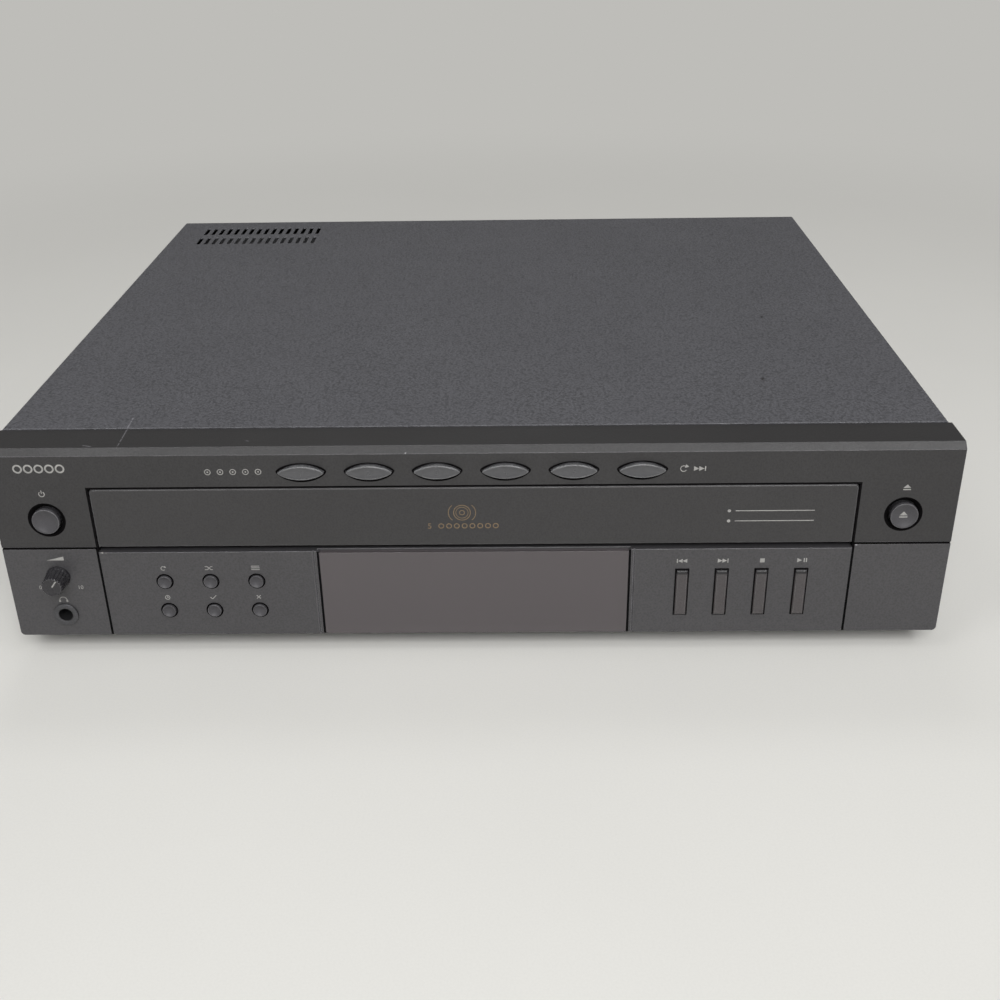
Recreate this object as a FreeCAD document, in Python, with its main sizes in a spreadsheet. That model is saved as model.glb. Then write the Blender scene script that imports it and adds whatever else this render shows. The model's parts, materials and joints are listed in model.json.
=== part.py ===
"""Parametric model of a five-disc carousel compact disc changer.

Every length is in millimetres and every angle in degrees.  x runs to the right
seen from the front, y to the back and z up.  Most pieces are modelled with y
measured from the front panel's face and z from the floor, and are then placed so
that the origin is at the centre of the whole changer's footprint.
"""
import FreeCAD, Part

import math
import operator
import os

import Sketcher
from FreeCAD import Placement, Rotation, Vector

# ---------------------------------------------------------------- driving sizes
SIZES = {
    # the whole cabinet
    "body_width": 430,
    "body_depth": 376,
    "panel_height": 96,
    "foot_height": 12,
    "foot_radius": 13,
    "foot_taper": 1.5,
    "foot_inset_side": 42,
    "foot_inset_end": 40,
    # sheet metal
    "cover_sheet": 0.8,
    "cover_rise": 0.4,
    "cover_inset": 1,
    "cover_bend": 1.6,
    "pan_sheet": 1,
    "pan_flange": 24,
    "pan_rib_width": 12,
    "pan_rib_depth": 1.5,
    "rear_sheet": 1,
    "slip": 0.3,
    "seat_gap": 0.1,
    "rib_side": 110,
    "rib_start": 70,
    "rib_end": 330,
    "slot_count": 14,
    "slot_pitch": 6,
    "slot_start": 90,
    "slot_inset": 25,
    "slot_length": 30,
    "rear_slot_inset": 95,
    "rear_slot_height": 55,
    # ventilation slots in the cover
    "vent_count": 16,
    "vent_pitch": 5.1,
    "vent_width": 2.6,
    "vent_length": 16,
    "vent_inset": 22,
    "vent_back_row": 345,
    "vent_front_row": 322,
    # front mouldings
    "shelf_depth": 22.4,
    "moulding_wall": 2.5,
    "rim_wall": 2,
    "top_bevel": 2.8,
    "bevel_backing": 1,
    "edge_break": 0.5,
    "panel_gap": 0.7,
    "opening_width": 342.4,
    "door_gap": 0.5,
    "door_low": 47.3,
    "door_height": 29.4,
    "door_thickness": 3,
    "door_rib": 3,
    "door_rib_height": 1.5,
    "door_rib_inset": 8,
    "fascia_height": 44.5,
    "seam_low": 46.4,
    "seam_gap": 1,
    "corner_radius": 2,
    # display window
    "window_width": 141.2,
    "window_height": 43.7,
    "window_gap": 0.85,
    "window_rib": 1.3,
    "window_groove": 0.6,
    "window_thickness": 2.5,
    "tube_width": 112,
    "tube_height": 22,
    "tube_thickness": 6,
    "tube_lap": 2,
    "tube_stub_radius": 2,
    "tube_stub": 1,
    "board_thickness": 1.6,
    "board_gap": 1,
    # buttons
    "button_gap": 0.3,
    "button_flange": 1.4,
    "flange_overhang": 1.2,
    "stem_radius": 1.5,
    "button_travel": 1,
    "end_control_inset": 1.4,
    "round_height": 61.6,
    "round_cap_radius": 6.1,
    "round_bevel": 1.9,
    "round_stand": 1,
    "lens_count": 6,
    "lens_pitch": 30,
    "lens_height": 85,
    "lens_width": 20.3,
    "lens_rise": 6.7,
    "lens_stand": 1.8,
    "lens_bevel": 0.7,
    "small_columns": 3,
    "small_pitch": 21.25,
    "small_side": 121.55,
    "small_high": 29,
    "small_low": 13.4,
    "small_cap_radius": 3.1,
    "small_hole_radius": 3.9,
    "small_stand": 0.6,
    "bar_pitch": 18.05,
    "bar_first": 95.1,
    "bar_low": 10,
    "bar_high": 33.5,
    "bar_width": 5.1,
    "bar_stand": 1.2,
    "dish_depth": 0.7,
    # headphone socket and level control
    "level_height": 32,
    "knob_radius": 5.5,
    "knob_tip_radius": 4.4,
    "knob_length": 10,
    "knob_skirt": 1.2,
    "shaft_radius": 3,
    "shaft_short": 1,
    "shaft_fit": 0.05,
    "bush_wall": 1,
    "pointer_depth": 0.8,
    "pot_radius": 7,
    "pot_depth": 9,
    "phones_height": 11.6,
    "phones_bore_radius": 3.25,
    "phones_sleeve_wall": 1.2,
    "phones_ring_radius": 5.75,
    "phones_ring_stand": 0.8,
    "phones_bore_length": 18,
    "phones_body": 12,
    "phones_floor": 1,
    # rear connections
    "line_radius": 4.15,
    "line_length": 7.5,
    "line_pitch": 14,
    "line_inset": 65,
    "line_shoulder": 0.5,
    "line_shoulder_wall": 1.2,
    "line_height": 32,
    "line_block_wall": 7,
    "line_block_half": 8,
    "line_block_depth": 10,
    "line_hole_radius": 1.7,
    "line_hole_length": 12,
    "gland_inset": 50,
    "gland_height": 34,
    "gland_radius": 6.5,
    "gland_reach": 8,
    "gland_bore_radius": 3.2,
    "gland_groove": 1.5,
    "gland_barb": 1,
    "gland_flange": 2,
    # boards and transformer
    "main_board_width": 130,
    "main_board_length": 190,
    "main_board_side": 60,
    "main_board_start": 165,
    "standoff_height": 6,
    "standoff_radius": 2.5,
    "standoff_inset": 6,
    "can_radius": 5,
    "can_pitch": 16,
    "can_height": 9,
    "chip_pitch": 40,
    "chip_length": 22,
    "chip_width": 12,
    "chip_height": 2.5,
    "core_width": 60,
    "core_length": 44,
    "core_height": 34,
    "core_inset": 47,
    "core_bevel": 1,
    "core_leg": 10,
    "winding_inset": 5,
    "winding_radius": 5,
    "lug_reach": 7,
    "lug_inset": 2,
    "core_start": 306,
    # deck that carries the drawer and the pickup
    "deck_level": 38,
    "deck_thickness": 2,
    "deck_start": 28,
    "deck_end": 334,
    "rail_wall": 3.5,
    "rail_ledge": 11,
    "rail_root": 1,
    "rail_gap": 0.4,
    "leg_radius": 6,
    "leg_inset": 9.4,
    "leg_front": 45,
    "leg_rear": 288,
    "hook_length": 30,
    "hook_gap": 0.4,
    "hook_reach": 3,
    "hook_thickness": 2,
    "block_width": 6,
    "block_half": 6,
    "block_wall": 4,
    # drawer
    "tray_floor": 2,
    "tray_level": 49,
    "tray_height": 15.2,
    "tray_end": 343,
    "tray_side_gap": 1.7,
    "tray_corner": 60,
    "tray_wall": 2,
    "tray_bevel": 0.8,
    "spigot_shoulder": 3,
    "spigot_drop": 1,
    "tray_travel": 235,
    "rack_margin": 14,
    "rack_rise": 0.9,
    "rack_back": 4,
    "way_half": 46,
    # carousel
    "carousel_radius": 163.5,
    "carousel_gap": 2,
    "carousel_centre": 175,
    "carousel_bottom": 56.5,
    "carousel_height": 7.5,
    "well_count": 5,
    "well_circle": 104,
    "well_radius": 60.6,
    "well_depth": 4.5,
    "small_well_radius": 41,
    "small_well_depth": 1,
    "key_radius": 19,
    "key_width": 34,
    "key_margin": 3,
    "hub_radius": 24,
    "hub_rise": 3,
    "cap_inset": 6,
    "cap_rise": 2.4,
    "cap_hollow": 4,
    "spigot_radius": 8,
    "running_gap": 0.06,
    "ring_teeth": 124,
    "ring_module": 2.5,
    "ring_width": 3,
    "ring_wall": 4.5,
    "pinion_teeth": 24,
    "pinion_shaft_radius": 1.5,
    "carousel_motor_radius": 12,
    "ring_play": 0.5,
    "tooth_play": 0.3,
    "tooth_rise": 0.9,
    "tooth_root": 0.3,
    # loading drive
    "loading_module": 1.5,
    "loading_teeth": 16,
    "rack_inset": 25.5,
    "loading_start": 45,
    "loading_gear_width": 2.8,
    "pulley_radius": 18,
    "pulley_width": 3.6,
    "motor_pulley_radius": 4,
    "motor_reach": 44,
    "motor_start": 52,
    "motor_radius": 12,
    "motor_length": 22,
    "motor_shaft_radius": 1,
    "motor_boss": 1.2,
    "motor_edge": 1,
    "motor_flat": 0.8,
    "motor_shaft_depth": 8,
    "motor_bore_depth": 12,
    "belt_thickness": 1.2,
    "belt_width": 1.4,
    # pickup, hinged behind the front of the drawer
    "pivot_start": 170,
    "pivot_level": 44.5,
    "pickup_tilt": 10,
    "pickup_width": 88,
    "pickup_length": 132,
    "pickup_thickness": 3,
    "pickup_window_width": 46,
    "pickup_flange": 6,
    "pickup_corner": 4,
    "pivot_radius": 2.5,
    "spindle_distance": 109,
    "spindle_motor_radius": 12,
    "spindle_motor_height": 11,
    "spindle_boss_radius": 4,
    "spindle_boss_rise": 0.8,
    "spindle_bore_floor": 3,
    "platter_radius": 14,
    "platter_level": 19.2,
    "platter_thickness": 2,
    "cone_radius": 7.4,
    "cone_height": 2.4,
    "cone_slope": 1.2,
    "cone_step": 1,
    "spindle_shaft_radius": 1,
    "rod_radius": 1.5,
    "rod_side": 20,
    "rod_rise": 5,
    "rod_start": 22,
    "rod_cover": 2.5,
    "post_half": 3,
    "post_length": 4,
    "sled_width": 48,
    "sled_length": 24,
    "sled_clearance": 3,
    "sled_rack_lap": 3,
    "sled_travel": 34,
    "sled_home": 24,
    "tower_width": 26,
    "tower_length": 18,
    "tower_level": 16.3,
    "tower_corner": 3,
    "lens_rim": 1,
    "belly_inset": 6,
    "belly_drop": 4,
    "lens_radius": 3.5,
    "sled_module": 0.8,
    "sled_play": 0.15,
    "sled_rack_width": 2.2,
    "sled_margin": 6,
    "sled_gear_teeth": 18,
    "cam_travel": 30,
    "cam_plate": 3,
    "cam_pin_radius": 2,
    "cam_pin_drop": 3,
    "cam_pin_reach": 5,
    "cam_pin_way": 1.5,
    "cam_slot_play": 0.8,
    "cam_margin": 12,
    "cam_way": 15,
    "cam_foot": 6,
    "cam_head": 6.5,
    "cam_gap": 6,
    "pickup_gap": 8,
    "pickup_end_gap": 2,
    # clamp above the playing position
    "bridge_level": 72,
    "bridge_sheet": 1.2,
    "bridge_width": 36,
    "bridge_inset": 0.8,
    "puck_radius": 15,
    "puck_neck_radius": 7,
    "puck_gap": 0.4,
    "puck_clearance": 0.8,
    "puck_thickness": 3,
    "puck_rim": 3.5,
    "puck_head": 1.6,
}

TAN_FLANK = math.tan(math.radians(20))
DISH_STEPS = 4
CUT_PAST = 1
BAR_BUTTONS = ("skip_back", "skip_forward", "stop", "play_pause")
OPERATIONS = {"+": operator.add, "-": operator.sub, "*": operator.mul, "/": operator.truediv}


class Size:
    """A number together with the spreadsheet formula that gives it."""

    def __init__(self, value, formula):
        self.value = float(value)
        self.formula = formula

    def __add__(self, other):
        return combine(self, "+", other)

    def __radd__(self, other):
        return combine(other, "+", self)

    def __sub__(self, other):
        return combine(self, "-", other)

    def __rsub__(self, other):
        return combine(other, "-", self)

    def __mul__(self, other):
        return combine(self, "*", other)

    def __rmul__(self, other):
        return combine(other, "*", self)

    def __truediv__(self, other):
        return combine(self, "/", other)

    def __rtruediv__(self, other):
        return combine(other, "/", self)

    def __neg__(self):
        return combine(0, "-", self)

    def __float__(self):
        return self.value


def as_size(number):
    """Return a Size for a plain number, and a Size as it is."""
    if isinstance(number, Size):
        return number
    return Size(number, f"({float(number):.9g})")


def combine(left, sign, right):
    """Join two sizes by one arithmetic operation."""
    left = as_size(left)
    right = as_size(right)
    value = OPERATIONS[sign](left.value, right.value)
    return Size(value, f"({left.formula} {sign} {right.formula})")


def sine(angle):
    """Sine of an angle in degrees."""
    angle = as_size(angle)
    return Size(math.sin(math.radians(angle.value)), f"sin({angle.formula})")


def cosine(angle):
    """Cosine of an angle in degrees."""
    angle = as_size(angle)
    return Size(math.cos(math.radians(angle.value)), f"cos({angle.formula})")


def root(number):
    """Square root."""
    number = as_size(number)
    return Size(math.sqrt(number.value), f"sqrt({number.formula})")


def larger(left, right):
    """The larger of two sizes."""
    left = as_size(left)
    right = as_size(right)
    return Size(max(left.value, right.value), f"max({left.formula}; {right.formula})")


class Sheet:
    """The spreadsheet, with each cell's alias as an attribute."""

    def __init__(self, doc):
        cells = doc.addObject("Spreadsheet::Sheet", "Sizes")
        for row, (alias, number) in enumerate(SIZES.items(), start=1):
            cells.set(f"A{row}", alias)
            cells.set(f"B{row}", str(number))
            cells.setAlias(f"B{row}", alias)
            setattr(self, alias, Size(number, f"Sizes.{alias}"))


doc = FreeCAD.newDocument("disc_changer")
S = Sheet(doc)
doc.recompute()

# ------------------------------------------------------------- derived positions
HALF = S.body_width / 2
PANEL_TOP = S.foot_height + S.panel_height
FRONT = -(S.body_depth + S.gland_reach - S.knob_length) / 2
COVER_TOP = PANEL_TOP + S.cover_rise
COVER_HALF = HALF - S.cover_inset
COVER_INNER = COVER_HALF - S.cover_sheet
FRAME_WALL = S.top_bevel + S.bevel_backing
SEAM = S.foot_height + S.seam_low
DOOR_LOW = S.foot_height + S.door_low
DOOR_TOP = DOOR_LOW + S.door_height
DOOR_HALF = S.opening_width / 2 - S.door_gap
OPENING_HALF = S.opening_width / 2
END_CONTROLS = (OPENING_HALF + HALF) / 2 - S.end_control_inset
OPENING_TOP = DOOR_TOP + S.door_gap
FASCIA_TOP = S.foot_height + S.fascia_height
PAN_LOW = S.foot_height + S.pan_rib_depth
PAN_TOP = PAN_LOW + S.pan_sheet
REAR_FACE = S.body_depth
REAR_INNER = REAR_FACE - S.rear_sheet
DECK_LOW = S.foot_height + S.deck_level
DECK_TOP = DECK_LOW + S.deck_thickness
TRAY_LOW = S.foot_height + S.tray_level
TRAY_FLOOR = TRAY_LOW + S.tray_floor
TRAY_TOP = TRAY_LOW + S.tray_height
TRAY_HALF = OPENING_HALF - S.tray_side_gap
CAROUSEL_LOW = S.foot_height + S.carousel_bottom
CAROUSEL_TOP = CAROUSEL_LOW + S.carousel_height
WELL_FLOOR = CAROUSEL_TOP - S.well_depth
RING_PITCH = S.ring_module * S.ring_teeth / 2
PINION_PITCH = S.ring_module * S.pinion_teeth / 2
PINION_OUT = (RING_PITCH + PINION_PITCH) * sine(45)
RING_LOW = TRAY_FLOOR + S.slip + S.seat_gap
RING_TOP = RING_LOW + S.ring_width
LOADING_PITCH = S.loading_module * S.loading_teeth / 2
RACK_LINE = TRAY_HALF - S.rack_inset
LOADING_SIDE = RACK_LINE - LOADING_PITCH
MOTOR_SIDE = LOADING_SIDE - S.motor_reach
RACK_LOW = FASCIA_TOP + S.rack_rise
PIVOT_LEVEL = S.foot_height + S.pivot_level
SPINDLE_Y = S.pivot_start + S.spindle_distance
BRIDGE_LOW = S.foot_height + S.bridge_level
PUCK_LOW = larger(TRAY_TOP, CAROUSEL_TOP) + S.puck_clearance
LEVEL_Z = S.foot_height + S.level_height
PHONES_Z = S.foot_height + S.phones_height
LINE_X = HALF - S.line_inset + S.line_pitch / 2
GLAND_X = S.gland_inset - HALF
LEVEL_X = -END_CONTROLS


# --------------------------------------------------------------- sketch outlines
def pin_point(sketch, geometry, corner, x, y):
    """Hold one point of a sketch line or arc at a place given by two sizes."""
    for kind, size in (("DistanceX", as_size(x)), ("DistanceY", as_size(y))):
        index = sketch.addConstraint(
            Sketcher.Constraint(kind, -1, 1, geometry, corner, size.value)
        )
        sketch.setExpression(f"Constraints[{index}]", size.formula)


def hold_radius(sketch, geometry, radius):
    """Hold the radius of a circle or an arc."""
    radius = as_size(radius)
    index = sketch.addConstraint(Sketcher.Constraint("Radius", geometry, radius.value))
    sketch.setExpression(f"Constraints[{index}]", radius.formula)


def at(x, y):
    """Vector in a sketch for two sizes."""
    return Vector(float(x), float(y), 0)


def polygon(*points):
    """Closed outline of straight lines."""

    def draw(sketch):
        lines = []
        for index, point in enumerate(points):
            following = points[(index + 1) % len(points)]
            lines.append(sketch.addGeometry(Part.LineSegment(at(*point), at(*following)), False))
        for index, line in enumerate(lines):
            following = lines[(index + 1) % len(lines)]
            sketch.addConstraint(Sketcher.Constraint("Coincident", line, 2, following, 1))
            pin_point(sketch, line, 1, *points[index])

    return draw


def box(low_x, high_x, low_y, high_y):
    """Rectangle between two pairs of sizes."""
    return polygon((low_x, low_y), (high_x, low_y), (high_x, high_y), (low_x, high_y))


def circle(x, y, radius):
    """Full circle."""

    def draw(sketch):
        ring = sketch.addGeometry(Part.Circle(at(x, y), Vector(0, 0, 1), float(radius)), False)
        pin_point(sketch, ring, 3, x, y)
        hold_radius(sketch, ring, radius)

    return draw


def lens(x, y, half_width, half_height):
    """Two equal arcs that meet at the left and right tips."""
    half_width = as_size(half_width)
    half_height = as_size(half_height)
    radius = (half_width * half_width / half_height + half_height) / 2
    sag = radius - half_height
    spread = math.atan2(half_width.value, sag.value)

    def draw(sketch):
        arcs = []
        for middle, offset in ((math.pi / 2, -sag), (-math.pi / 2, sag)):
            whole = Part.Circle(at(x, y + offset), Vector(0, 0, 1), radius.value)
            arc = Part.ArcOfCircle(whole, middle - spread, middle + spread)
            arcs.append(sketch.addGeometry(arc, False))
            pin_point(sketch, arcs[-1], 3, x, y + offset)
            hold_radius(sketch, arcs[-1], radius)
        sketch.addConstraint(Sketcher.Constraint("Coincident", arcs[0], 1, arcs[1], 2))
        sketch.addConstraint(Sketcher.Constraint("Coincident", arcs[0], 2, arcs[1], 1))

    return draw


def obround(x, low, high, radius):
    """Upright slot with round ends, between the centres of its two arcs."""

    def draw(sketch):
        left = sketch.addGeometry(Part.LineSegment(at(x - radius, high), at(x - radius, low)), False)
        right = sketch.addGeometry(Part.LineSegment(at(x + radius, low), at(x + radius, high)), False)
        top = Part.ArcOfCircle(Part.Circle(at(x, high), Vector(0, 0, 1), float(radius)), 0, math.pi)
        foot = Part.ArcOfCircle(
            Part.Circle(at(x, low), Vector(0, 0, 1), float(radius)), math.pi, 2 * math.pi
        )
        top = sketch.addGeometry(top, False)
        foot = sketch.addGeometry(foot, False)
        joins = ((right, 2, top, 1), (top, 2, left, 1), (left, 2, foot, 1), (foot, 2, right, 1))
        for first, end, second, start in joins:
            sketch.addConstraint(Sketcher.Constraint("Tangent", first, end, second, start))
        pin_point(sketch, top, 3, x, high)
        pin_point(sketch, foot, 3, x, low)
        hold_radius(sketch, top, radius)

    return draw


def rounded_box(low_x, high_x, low_y, high_y, radius):
    """Rectangle with four equal round corners."""

    def draw(sketch):
        centres = (
            (high_x - radius, low_y + radius, -90),
            (high_x - radius, high_y - radius, 0),
            (low_x + radius, high_y - radius, 90),
            (low_x + radius, low_y + radius, 180),
        )
        arcs = []
        for x, y, start in centres:
            whole = Part.Circle(at(x, y), Vector(0, 0, 1), float(radius))
            arc = Part.ArcOfCircle(whole, math.radians(start), math.radians(start + 90))
            arcs.append(sketch.addGeometry(arc, False))
            pin_point(sketch, arcs[-1], 3, x, y)
        hold_radius(sketch, arcs[0], radius)
        for arc in arcs[1:]:
            sketch.addConstraint(Sketcher.Constraint("Equal", arcs[0], arc))
        for index, arc in enumerate(arcs):
            following = arcs[(index + 1) % 4]
            end = sketch.Geometry[arc].EndPoint
            start = sketch.Geometry[following].StartPoint
            line = sketch.addGeometry(Part.LineSegment(end, start), False)
            sketch.addConstraint(Sketcher.Constraint("Tangent", arc, 2, line, 1))
            sketch.addConstraint(Sketcher.Constraint("Tangent", line, 2, following, 1))

    return draw


# ------------------------------------------------------------- pieces and features
PLANES = {
    "floor": ("XY_Plane", 1, False),
    "front": ("XZ_Plane", -1, True),
    "side": ("YZ_Plane", 1, False),
}
NODES = []


class Piece:
    """A PartDesign body whose features run between two levels of a base plane."""

    def __init__(self, name):
        self.body = doc.addObject("PartDesign::Body", name)
        self.body.Label = name
        self.count = 0
        NODES.append(self.body)

    def sketch(self, plane, level, outlines):
        """Draw closed outlines on a plane parallel to one of the base planes."""
        role, sign, _ = PLANES[plane]
        self.count += 1
        name = f"{self.body.Name}_sketch_{self.count}"
        sketch = self.body.newObject("Sketcher::SketchObject", name)
        base = [item for item in self.body.Origin.OriginFeatures if item.Role == role][0]
        sketch.AttachmentSupport = [(base, "")]
        sketch.MapMode = "FlatFace"
        offset = as_size(level) * sign
        sketch.AttachmentOffset = Placement(Vector(0, 0, offset.value), Rotation())
        sketch.setExpression("AttachmentOffset.Base.z", offset.formula)
        for draw in outlines:
            draw(sketch)
        return sketch

    def feature(self, kind, profile):
        """Add a feature of one kind on a sketch."""
        self.count += 1
        feature = self.body.newObject(f"PartDesign::{kind}", f"{self.body.Name}_{kind}_{self.count}")
        feature.Profile = profile
        return feature

    def add(self, plane, low, high, *outlines):
        """Pad the outlines from the low level to the high one."""
        pad = self.feature("Pad", self.sketch(plane, low, outlines))
        length = as_size(high) - low
        pad.Length = length.value
        pad.setExpression("Length", length.formula)
        pad.Reversed = PLANES[plane][2]
        return pad

    def cut(self, plane, low, high, *outlines):
        """Pocket the outlines from the low level to the high one."""
        doc.recompute()
        before = self.body.Shape.Volume
        pocket = self.feature("Pocket", self.sketch(plane, low, outlines))
        length = as_size(high) - low
        pocket.Length = length.value
        pocket.setExpression("Length", length.formula)
        pocket.Reversed = not PLANES[plane][2]
        doc.recompute()
        if self.body.Shape.Volume > before - 1e-6:
            raise RuntimeError(f"{pocket.Name} cuts nothing")
        return pocket

    def spin(self, plane, axis, *points):
        """Revolve a closed profile about the sketch's own horizontal or vertical axis."""
        profile = self.sketch(plane, 0, [polygon(*points)])
        turned = self.feature("Revolution", profile)
        turned.ReferenceAxis = (profile, [axis])
        turned.Angle = 360
        return turned

    def row(self, features, axis, step, count):
        """Repeat features in a straight line along a sketch axis of the last of them."""
        pattern = self.pattern("LinearPattern", features)
        pattern.Direction = (features[-1].Profile[0], [axis])
        length = step * (count - 1)
        pattern.Length = length.value
        pattern.setExpression("Length", length.formula)
        pattern.Occurrences = int(float(count))
        pattern.setExpression("Occurrences", as_size(count).formula)
        return pattern

    def ring(self, features, count):
        """Repeat features round the body's own vertical axis."""
        doc.recompute()
        pattern = self.pattern("PolarPattern", features)
        axis = [item for item in self.body.Origin.OriginFeatures if item.Role == "Z_Axis"][0]
        pattern.Axis = (axis, [""])
        pattern.Angle = 360
        pattern.Occurrences = int(float(count))
        pattern.setExpression("Occurrences", as_size(count).formula)
        return pattern

    def pattern(self, kind, features):
        """Start a pattern of features and make it the body's tip."""
        self.count += 1
        pattern = self.body.newObject(f"PartDesign::{kind}", f"{self.body.Name}_{kind}_{self.count}")
        pattern.Originals = features
        self.body.Tip = pattern
        return pattern

    def dress(self, kind, size, chosen):
        """Fillet or chamfer the edges that the test picks."""
        doc.recompute()
        size = as_size(size)
        names = []
        for index, edge in enumerate(self.body.Shape.Edges, start=1):
            if chosen(edge):
                names.append(f"Edge{index}")
        if not names:
            raise RuntimeError(f"{self.body.Name}: no edge to dress")
        base = self.body.Tip
        self.count += 1
        feature = self.body.newObject(f"PartDesign::{kind}", f"{self.body.Name}_{kind}_{self.count}")
        feature.Base = (base, names)
        sized = "Radius" if kind == "Fillet" else "Size"
        setattr(feature, sized, size.value)
        feature.setExpression(sized, size.formula)
        return feature

    def place(self, x=0, y=0, z=0, tilt=None):
        """Put the body at a place given by sizes, tilted about x where asked."""
        set_place(self.body, x, y, z, tilt)
        return self


def set_place(item, x=0, y=0, z=0, tilt=None):
    """Bind an object's position, and its turn about x, to the spreadsheet."""
    turn = Rotation()
    if tilt is not None:
        turn = Rotation(Vector(1, 0, 0), float(tilt))
    item.Placement = Placement(Vector(float(x), float(y), float(z)), turn)
    for name, size in (("x", x), ("y", y), ("z", z)):
        item.setExpression(f"Placement.Base.{name}", as_size(size).formula)
    if tilt is not None:
        item.setExpression("Placement.Rotation.Angle", as_size(tilt).formula)


def near(left, right):
    """Whether two lengths are the same to a hundredth."""
    return abs(float(left) - float(right)) < 0.01


def round_edge(edge, radius, **place):
    """Whether an edge is an arc of this radius whose centre is at the given coordinates."""
    if not isinstance(edge.Curve, Part.Circle):
        return False
    if not near(edge.Curve.Radius, radius):
        return False
    return all(near(getattr(edge.Curve.Center, name), size) for name, size in place.items())


def straight_edge(edge, along, **place):
    """Whether a straight edge runs along one axis through the given coordinates."""
    if not isinstance(edge.Curve, (Part.Line, Part.LineSegment)):
        return False
    direction = edge.Curve.Direction
    if abs(abs(getattr(direction, along)) - 1) > 1e-6:
        return False
    middle = edge.CenterOfMass
    return all(near(getattr(middle, name), size) for name, size in place.items())


def tooth_halves(module, play):
    """Half widths of a straight-flanked tooth at its root and at its tip."""
    root_half = math.pi * module / 4 - play / 2 + module * TAN_FLANK
    return root_half, root_half - module * (1 + S.tooth_rise) * TAN_FLANK


def tooth_outline(pitch, module, play):
    """Sketch outline of one gear tooth that points along x."""
    root_half, tip_half = tooth_halves(module, play)
    foot = pitch - module * (1 + S.tooth_root)
    tip = pitch + module * S.tooth_rise
    return polygon((foot, -root_half), (tip, -tip_half), (tip, tip_half), (foot, root_half))


CAM_Y = S.pivot_start + S.pickup_length + S.cam_gap
PIN_END = CAM_Y + S.cam_plate + S.cam_pin_reach
KEY_REACH = S.well_circle - S.sled_home - S.sled_travel - S.tower_length / 2 - S.key_margin
BOARD_Y = S.window_thickness + S.moulding_wall + S.slip + S.tube_thickness
WALL = S.moulding_wall
PAN_HALF = COVER_INNER - S.slip
RAIL_INNER = TRAY_HALF + S.rail_gap
RAIL_OUTER = RAIL_INNER + S.rail_wall
HOOK_LOW = TRAY_TOP + S.hook_gap
RAIL_TOP = HOOK_LOW + S.hook_thickness


# ------------------------------------------------------------------------ cabinet
def make_base_pan():
    """Folded steel tray with two stiffening ribs and rows of air slots."""
    pan = Piece("base_pan")
    start = S.shelf_depth + S.slip
    inner = PAN_HALF - S.pan_sheet
    top = PAN_LOW + S.pan_flange
    profile = polygon(
        (-PAN_HALF, PAN_LOW), (PAN_HALF, PAN_LOW), (PAN_HALF, top), (inner, top),
        (inner, PAN_TOP), (-inner, PAN_TOP), (-inner, top), (-PAN_HALF, top),
    )
    pan.add("front", start, REAR_INNER, profile)
    pan.add("front", start, start + S.pan_sheet, box(-PAN_HALF, PAN_HALF, PAN_LOW, top))
    outer = S.pan_rib_width / 2
    for side in (-1, 1):
        x = S.rib_side * side
        pan.add("floor", S.foot_height, PAN_LOW, obround(x, S.rib_start, S.rib_end, outer))
    for side in (-1, 1):
        x = S.rib_side * side
        groove = outer - S.pan_sheet
        low = S.foot_height + S.pan_sheet
        pan.cut("floor", low, PAN_TOP, obround(x, S.rib_start, S.rib_end, groove))
    slot = pan.cut(
        "floor", PAN_LOW, PAN_TOP,
        obround(S.slot_inset - S.rib_side, S.slot_start, S.slot_start + S.slot_length, S.vent_width / 2),
    )
    pan.row([slot], "H_Axis", S.slot_pitch, S.slot_count)
    pan.place(y=FRONT)


def make_top_cover():
    """Folded steel cover with two rows of slots above the transformer."""
    cover = Piece("top_cover")
    top = COVER_TOP
    low = PAN_LOW + S.slip
    under = top - S.cover_sheet
    profile = polygon(
        (-COVER_HALF, low), (-COVER_INNER, low), (-COVER_INNER, under), (COVER_INNER, under),
        (COVER_INNER, low), (COVER_HALF, low), (COVER_HALF, top), (-COVER_HALF, top),
    )
    cover.add("front", S.shelf_depth + S.slip, REAR_FACE, profile)
    cover.dress("Fillet", S.cover_bend, lambda edge: straight_edge(edge, "y", z=top))
    cover.dress(
        "Fillet", S.cover_bend - S.cover_sheet, lambda edge: straight_edge(edge, "y", z=under)
    )
    radius = S.vent_width / 2
    slots = []
    for start in (S.vent_back_row, S.vent_front_row):
        outline = obround(S.vent_inset - HALF, start + radius, start + S.vent_length - radius, radius)
        slots.append(cover.cut("floor", under - CUT_PAST, top + CUT_PAST, outline))
    cover.row(slots, "H_Axis", S.vent_pitch, S.vent_count)
    cover.place(y=FRONT)


def make_rear_panel():
    """Steel sheet with openings for the sockets, the cord's gland and the air."""
    panel = Piece("rear_panel")
    top = COVER_TOP - S.cover_sheet - S.slip
    panel.add("front", REAR_INNER, REAR_FACE, box(-PAN_HALF, PAN_HALF, PAN_LOW, top))
    panel.dress("Fillet", S.corner_radius, lambda edge: straight_edge(edge, "y", z=top))
    z = S.foot_height + S.line_height
    hole = S.line_radius + S.line_shoulder_wall + S.slip
    sockets = [circle(LINE_X + S.line_pitch / 2 * sign, z, hole) for sign in (-1, 1)]
    panel.cut("front", REAR_INNER, REAR_FACE, *sockets)
    neck = S.gland_radius - S.gland_groove
    gland = circle(GLAND_X, S.foot_height + S.gland_height, neck + S.slip)
    panel.cut("front", REAR_INNER, REAR_FACE, gland)
    low = S.foot_height + S.rear_slot_height
    slot = panel.cut(
        "front", REAR_INNER, REAR_FACE,
        obround(S.rear_slot_inset - HALF, low, low + S.slot_length, S.vent_width / 2),
    )
    panel.row([slot], "H_Axis", S.slot_pitch, S.slot_count)
    panel.place(y=FRONT)


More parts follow.
